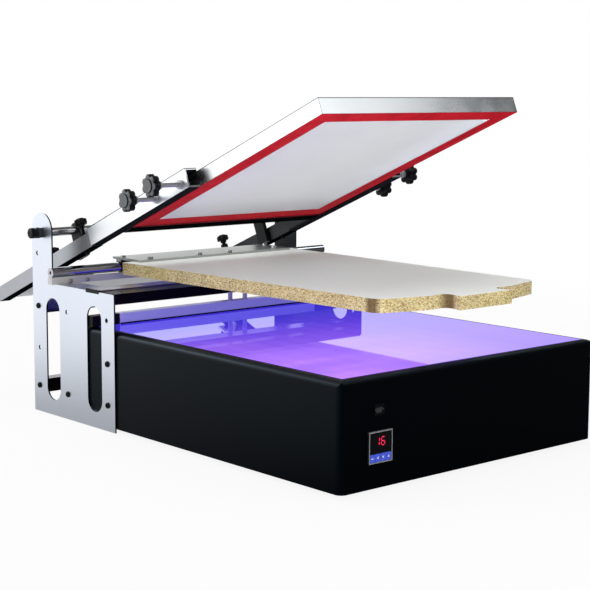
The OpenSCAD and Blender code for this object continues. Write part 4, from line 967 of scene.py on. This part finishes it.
def shadow_strips(made):
    """Black strip under the bar across the glass, and a black block below each channel's upper flange: dark
    pieces put where there is only shade, the strip for the shadow gap between bar and glass, the blocks for
    the shade inside the channels.
    """
    low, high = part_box("low_bar")
    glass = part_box("glass")[1].z
    under = Piece("bar_shadow_strip")
    under.box((low.x + 1 * MM, high.x - 1 * MM), (low.y - 0.25 * MM, high.y - 2 * MM),
              (glass + 0.15 * MM, low.z + 2.4 * MM))
    under.finish(made["rubber_black"], "stand")
    shade_blocks = Piece("channel_shade_blocks")
    flange = 1.2 * MM
    thick = 2.5 * MM
    bottom = reach("screen_frame", PIVOT, UP)[1] - 1.5 * MM
    for side, sign in OUTWARD.items():
        node = f"channel_{side}"
        rear, front = reach(node, PIVOT, FORWARD)
        top = reach(node, PIVOT, UP)[1] - flange
        inner = face_x(node, -sign)
        shade_blocks.box(sorted((inner, inner + sign * thick)), (rear + 2 * MM, front - 0.5 * MM),
                    (bottom, top), head_place)
    shade_blocks.finish(made["rubber_black"], "head")


def timer_digits():
    """A 1 and a 6 of seven segments, named as usual, on the timer's window. They stand a little
    right of its middle and above it."""
    low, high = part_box("timer_display")
    place = facing_front(low.y - 0.02 * MM)
    middle_x = (low.x + high.x) / 2 + 1.6 * MM
    middle_z = (low.z + high.z) / 2 + 2.2 * MM
    tall = 12 * MM
    wide = 7 * MM
    bar = 1.5 * MM
    tip = bar / 2
    lean = 0.04
    spots = {"a": (0, tall / 2), "d": (0, -tall / 2), "g": (0, 0), "b": (wide / 2, tall / 4),
             "c": (wide / 2, -tall / 4), "f": (-wide / 2, tall / 4), "e": (-wide / 2, -tall / 4)}
    digits = Piece("timer_digits")
    for names, offset in (("bc", -7.8 * MM), ("acdefg", 3.4 * MM)):
        for name in names:
            flat = name in "adg"
            end = (wide if flat else tall / 2) / 2 - bar * 0.45
            outline = []
            for u, v in ((-end, 0), (-end + tip, tip), (end - tip, tip), (end, 0), (end - tip, -tip),
                         (-end + tip, -tip)):
                x, z = spots[name]
                x, z = (x + u, z + v) if flat else (x + v, z + u)
                outline.append((middle_x + offset + x + z * lean, middle_z + z))
            digits.loop(outline, 0, 0.12 * MM, place)
    digits.finish(red_digits().material, "stand")


def key_marks():
    """Plain pale arrows and a bar on the four keys."""
    ink = pale_ink("pale_ink", 0.6).material
    size = 2.1 * MM
    shapes = (((-1, -0.3), (1, -0.3), (1, 0.3), (-1, 0.3)), ((-1, 0), (0.7, 1), (0.7, -1)),
              ((0, -1), (1, 0.7), (-1, 0.7)), ((0, 1), (-1, -0.7), (1, -0.7)))
    for index, shape in enumerate(shapes, 1):
        key = f"timer_key_{index}"
        low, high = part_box(key)
        x, z = (low.x + high.x) / 2, (low.z + high.z) / 2
        mark = Piece(f"key_mark_{index}")
        mark.loop([(x + u * size, z + v * size) for u, v in shape], 0, 0.09 * MM,
                  facing_front(low.y - 0.01 * MM))
        mark.finish(ink, body_of(key))


def switch_marks():
    """Plain I and O marks beside the rocker."""
    low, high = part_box("rocker_frame")
    rocker_low, rocker_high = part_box("rocker")
    face = low.y - 0.01 * MM
    z = (low.z + high.z) / 2
    x = (low.x + rocker_low.x) / 2
    half_w, half_h = 0.22 * MM, 1.1 * MM
    thick = 0.1 * MM
    inner_r, outer_r = 0.7 * MM, 1.1 * MM
    marks = Piece("switch_marks")
    marks.loop([(x - half_w, z - half_h), (x + half_w, z - half_h), (x + half_w, z + half_h),
                (x - half_w, z + half_h)], 0, thick, facing_front(face))
    ring = along(Vector(((high.x + rocker_high.x) / 2, face, z)), Vector((0, -1, 0)))
    marks.lathe([(0, inner_r), (0, outer_r), (thick, outer_r), (thick, inner_r)], ring, 32, closed=True)
    marks.finish(pale_ink("switch_ink", 0.1).material, "stand")


def screen_cloth(made):
    """Stretched screen fabric, with a slight bow between the frame's bars."""
    node = "screen_mesh"
    rear, front = reach(node, PIVOT, FORWARD)
    under, over = reach(node, PIVOT, UP)
    low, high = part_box(node)
    across, lengthwise = 44, 54
    deepest = 0.16 * MM
    points = []
    for i in range(across + 1):
        for j in range(lengthwise + 1):
            u, v = i / across, j / lengthwise
            bow = deepest * math.sin(math.pi * u) * math.sin(math.pi * v)
            points.append(head_place(low.x + (high.x - low.x) * u, rear + (front - rear) * v,
                                     (under + over) / 2 + bow))
    faces = []
    for i in range(across):
        for j in range(lengthwise):
            a = i * (lengthwise + 1) + j
            faces.append((a, a + 1, a + lengthwise + 2, a + lengthwise + 1))
    data = bpy.data.meshes.new("screen_cloth")
    data.from_pydata(points, [], faces)
    data.shade_smooth()
    data.materials.append(made["mesh_fabric"])
    cloth = in_scene("screen_cloth", data)
    thick = cloth.modifiers.new("thickness", "SOLIDIFY")
    thick.thickness = 0.2 * MM
    thick.offset = 0.0
    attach(cloth, body_of(node))
    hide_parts(node)


def tape_border(made):
    """Red tape round the mesh: four strips with hand-cut edges, lapped at the corners."""
    node = "screen_border"
    rear, front = reach(node, PIVOT, FORWARD)
    under, over = reach(node, PIVOT, UP)
    low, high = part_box(node)
    steps = 48
    layer = (over - under) / 2
    tape = Piece("mesh_tape")
    strips = ((True, rear, 1), (True, front, -1), (False, low.x, 1), (False, high.x, -1))
    for number, (sideways, edge, inward) in enumerate(strips):
        bottom = under + (layer if sideways else 0.0)
        top = bottom + layer * 0.96
        start, end = (low.x, high.x) if sideways else (rear, front)
        rows = []
        for i in range(steps + 1):
            t = start + (end - start) * i / steps
            cut = TAPE_W + 0.35 * MM * math.sin(11.0 * i / steps + number)
            cut += 0.2 * MM * math.sin(31.0 * i / steps + number)
            row = []
            for depth, height in ((0, bottom), (cut, bottom), (cut, top), (0, top)):
                x, run = (t, edge + inward * depth) if sideways else (edge + inward * depth, t)
                row.append(head_place(x, run, height))
            rows.append(row)
        tape.skin(rows)
    tape.finish(made["tape_red"], body_of(node), (node,))


# Room


# Directions away from the camera, for the light and for what metal and glass mirror
BEHIND = (-0.55, 0.8, 0.1)
MIRRORED_BEHIND = (-0.5, 0.8, -0.5)


def make_world():
    """White backdrop behind the object, with a dimmer room on the camera's side."""
    world = bpy.data.worlds.new("studio")
    bpy.context.scene.world = world
    world.use_nodes = True
    g = Graph(world.node_tree)
    place = g.coordinates["Generated"]
    path = g.node("ShaderNodeLightPath").outputs
    light = g.ease(g.vector("DOT_PRODUCT", place, BEHIND), -0.6, 0.5, 0.28, 1.0)
    mirrored = g.ease(g.vector("DOT_PRODUCT", place, MIRRORED_BEHIND), -0.3, 0.25, 0.08, 1.0)
    level = g.pick(path["Is Glossy Ray"], light, mirrored)
    shown = g.math("MAXIMUM", path["Is Camera Ray"], path["Is Transmission Ray"])
    background = g.tree.nodes["Background"].inputs
    g.feed(background["Strength"], g.pick(shown, level, 1.0))
    g.feed(background["Color"], WHITE)


def make_floor():
    """White floor that keeps a soft shadow of the object and runs out into the backdrop."""
    data = bpy.data.meshes.new("floor")
    mesh = bmesh.new()
    bmesh.ops.create_circle(mesh, cap_ends=True, segments=64, radius=12.0)
    mesh.to_mesh(data)
    mesh.free()
    floor = in_scene("floor", data)
    s = Shader("floor_white", (0.7, 0.7, 0.7), roughness=0.9, specular_ior_level=0.0)
    place = s.coordinates["Object"]
    away = s.vector("LENGTH", place)
    lean = s.vector("DOT_PRODUCT", place, BEHIND)
    path = s.node("ShaderNodeLightPath").outputs
    seen = s.ease(away, 0.5, 2.6, 0.9, 1.0)
    # Painted shade: in reflections the floor is a plain glow, dimmed near the object where its shadow
    # falls, and dimmer on the camera's side.
    mirrored = s.math("MULTIPLY", s.ease(away, 0.35, 1.4, 0.42, 1.0),
                      s.ease(lean, -0.35, 0.35, 0.1, 1.0))
    shown = s.math("MAXIMUM", path["Is Camera Ray"], path["Is Transmission Ray"])
    share = s.pick(shown, path["Is Glossy Ray"], seen)
    glow = s.node("ShaderNodeEmission", {"Strength": s.pick(path["Is Glossy Ray"], 1.0, mirrored)})
    mixed = s.node("ShaderNodeMixShader", {0: share, 1: s.bsdf.outputs[0], 2: glow.outputs[0]})
    s.feed(s.tree.nodes["Material Output"].inputs["Surface"], mixed.outputs[0])
    data.materials.append(s.material)


def area_light(name, place, target, size, watts, color=WHITE, mirrored=False, diffuse=True):
    data = bpy.data.lights.new(name, "AREA")
    data.shape = "RECTANGLE"
    data.size, data.size_y = size
    data.energy = watts
    data.color = color
    lamp = in_scene(name, data)
    lamp.location = place
    lamp.rotation_euler = (Vector(target) - Vector(place)).to_track_quat("-Z", "Y").to_euler()
    lamp.visible_camera = False
    lamp.visible_transmission = False
    lamp.visible_glossy = mirrored
    lamp.visible_diffuse = diffuse


def make_lights():
    """Soft lamps. The two edge lamps only show as reflections along bright edges."""
    cool = (0.85, 0.95, 1.0)
    edge = {"size": (0.5, 0.5), "color": cool, "mirrored": True, "diffuse": False}
    area_light("key", (-1.35, 1.05, 0.8), (-0.3, 0.1, 0.25), (1.1, 0.9), 3.0, (0.95, 0.98, 1.0), True)
    area_light("front", (0.46, -1.12, 1.26), (0, -0.4, 0.55), (0.76, 0.7), 2.0, (0.97, 0.99, 1.0), True)
    area_light("edge_left", (-1.2, 1.5, 1.12), (-0.3, 0, 0.16), watts=8, **edge)
    area_light("edge_front", (1.5, -0.37, 1.67), (0.2, -0.5, 0.16), watts=3, **edge)
    area_light("top", (-0.2, 0.2, 2.8), (0, 0, 0.2), (2.2, 2.2), 28)
    area_light("low", (-0.6, -1.6, 0.1), (0, -0.2, 0.5), (1.4, 0.8), 14)


make_camera()
MADE = make_materials()
SPECIAL = node_materials()
dress_nodes(MADE, SPECIAL)
clamp_screws(MADE)
star_screws(MADE)
plate_screws(MADE)
head_screws(MADE)
board_bolts(MADE)
leveller_rods(SPECIAL)
end_grips(MADE)
tube_caps(MADE)
shadow_strips(MADE)
timer_digits()
key_marks()
switch_marks()
screen_cloth(MADE)
tape_border(MADE)
make_world()
make_floor()
make_lights()
bpy.context.scene.view_settings.view_transform = "Standard"
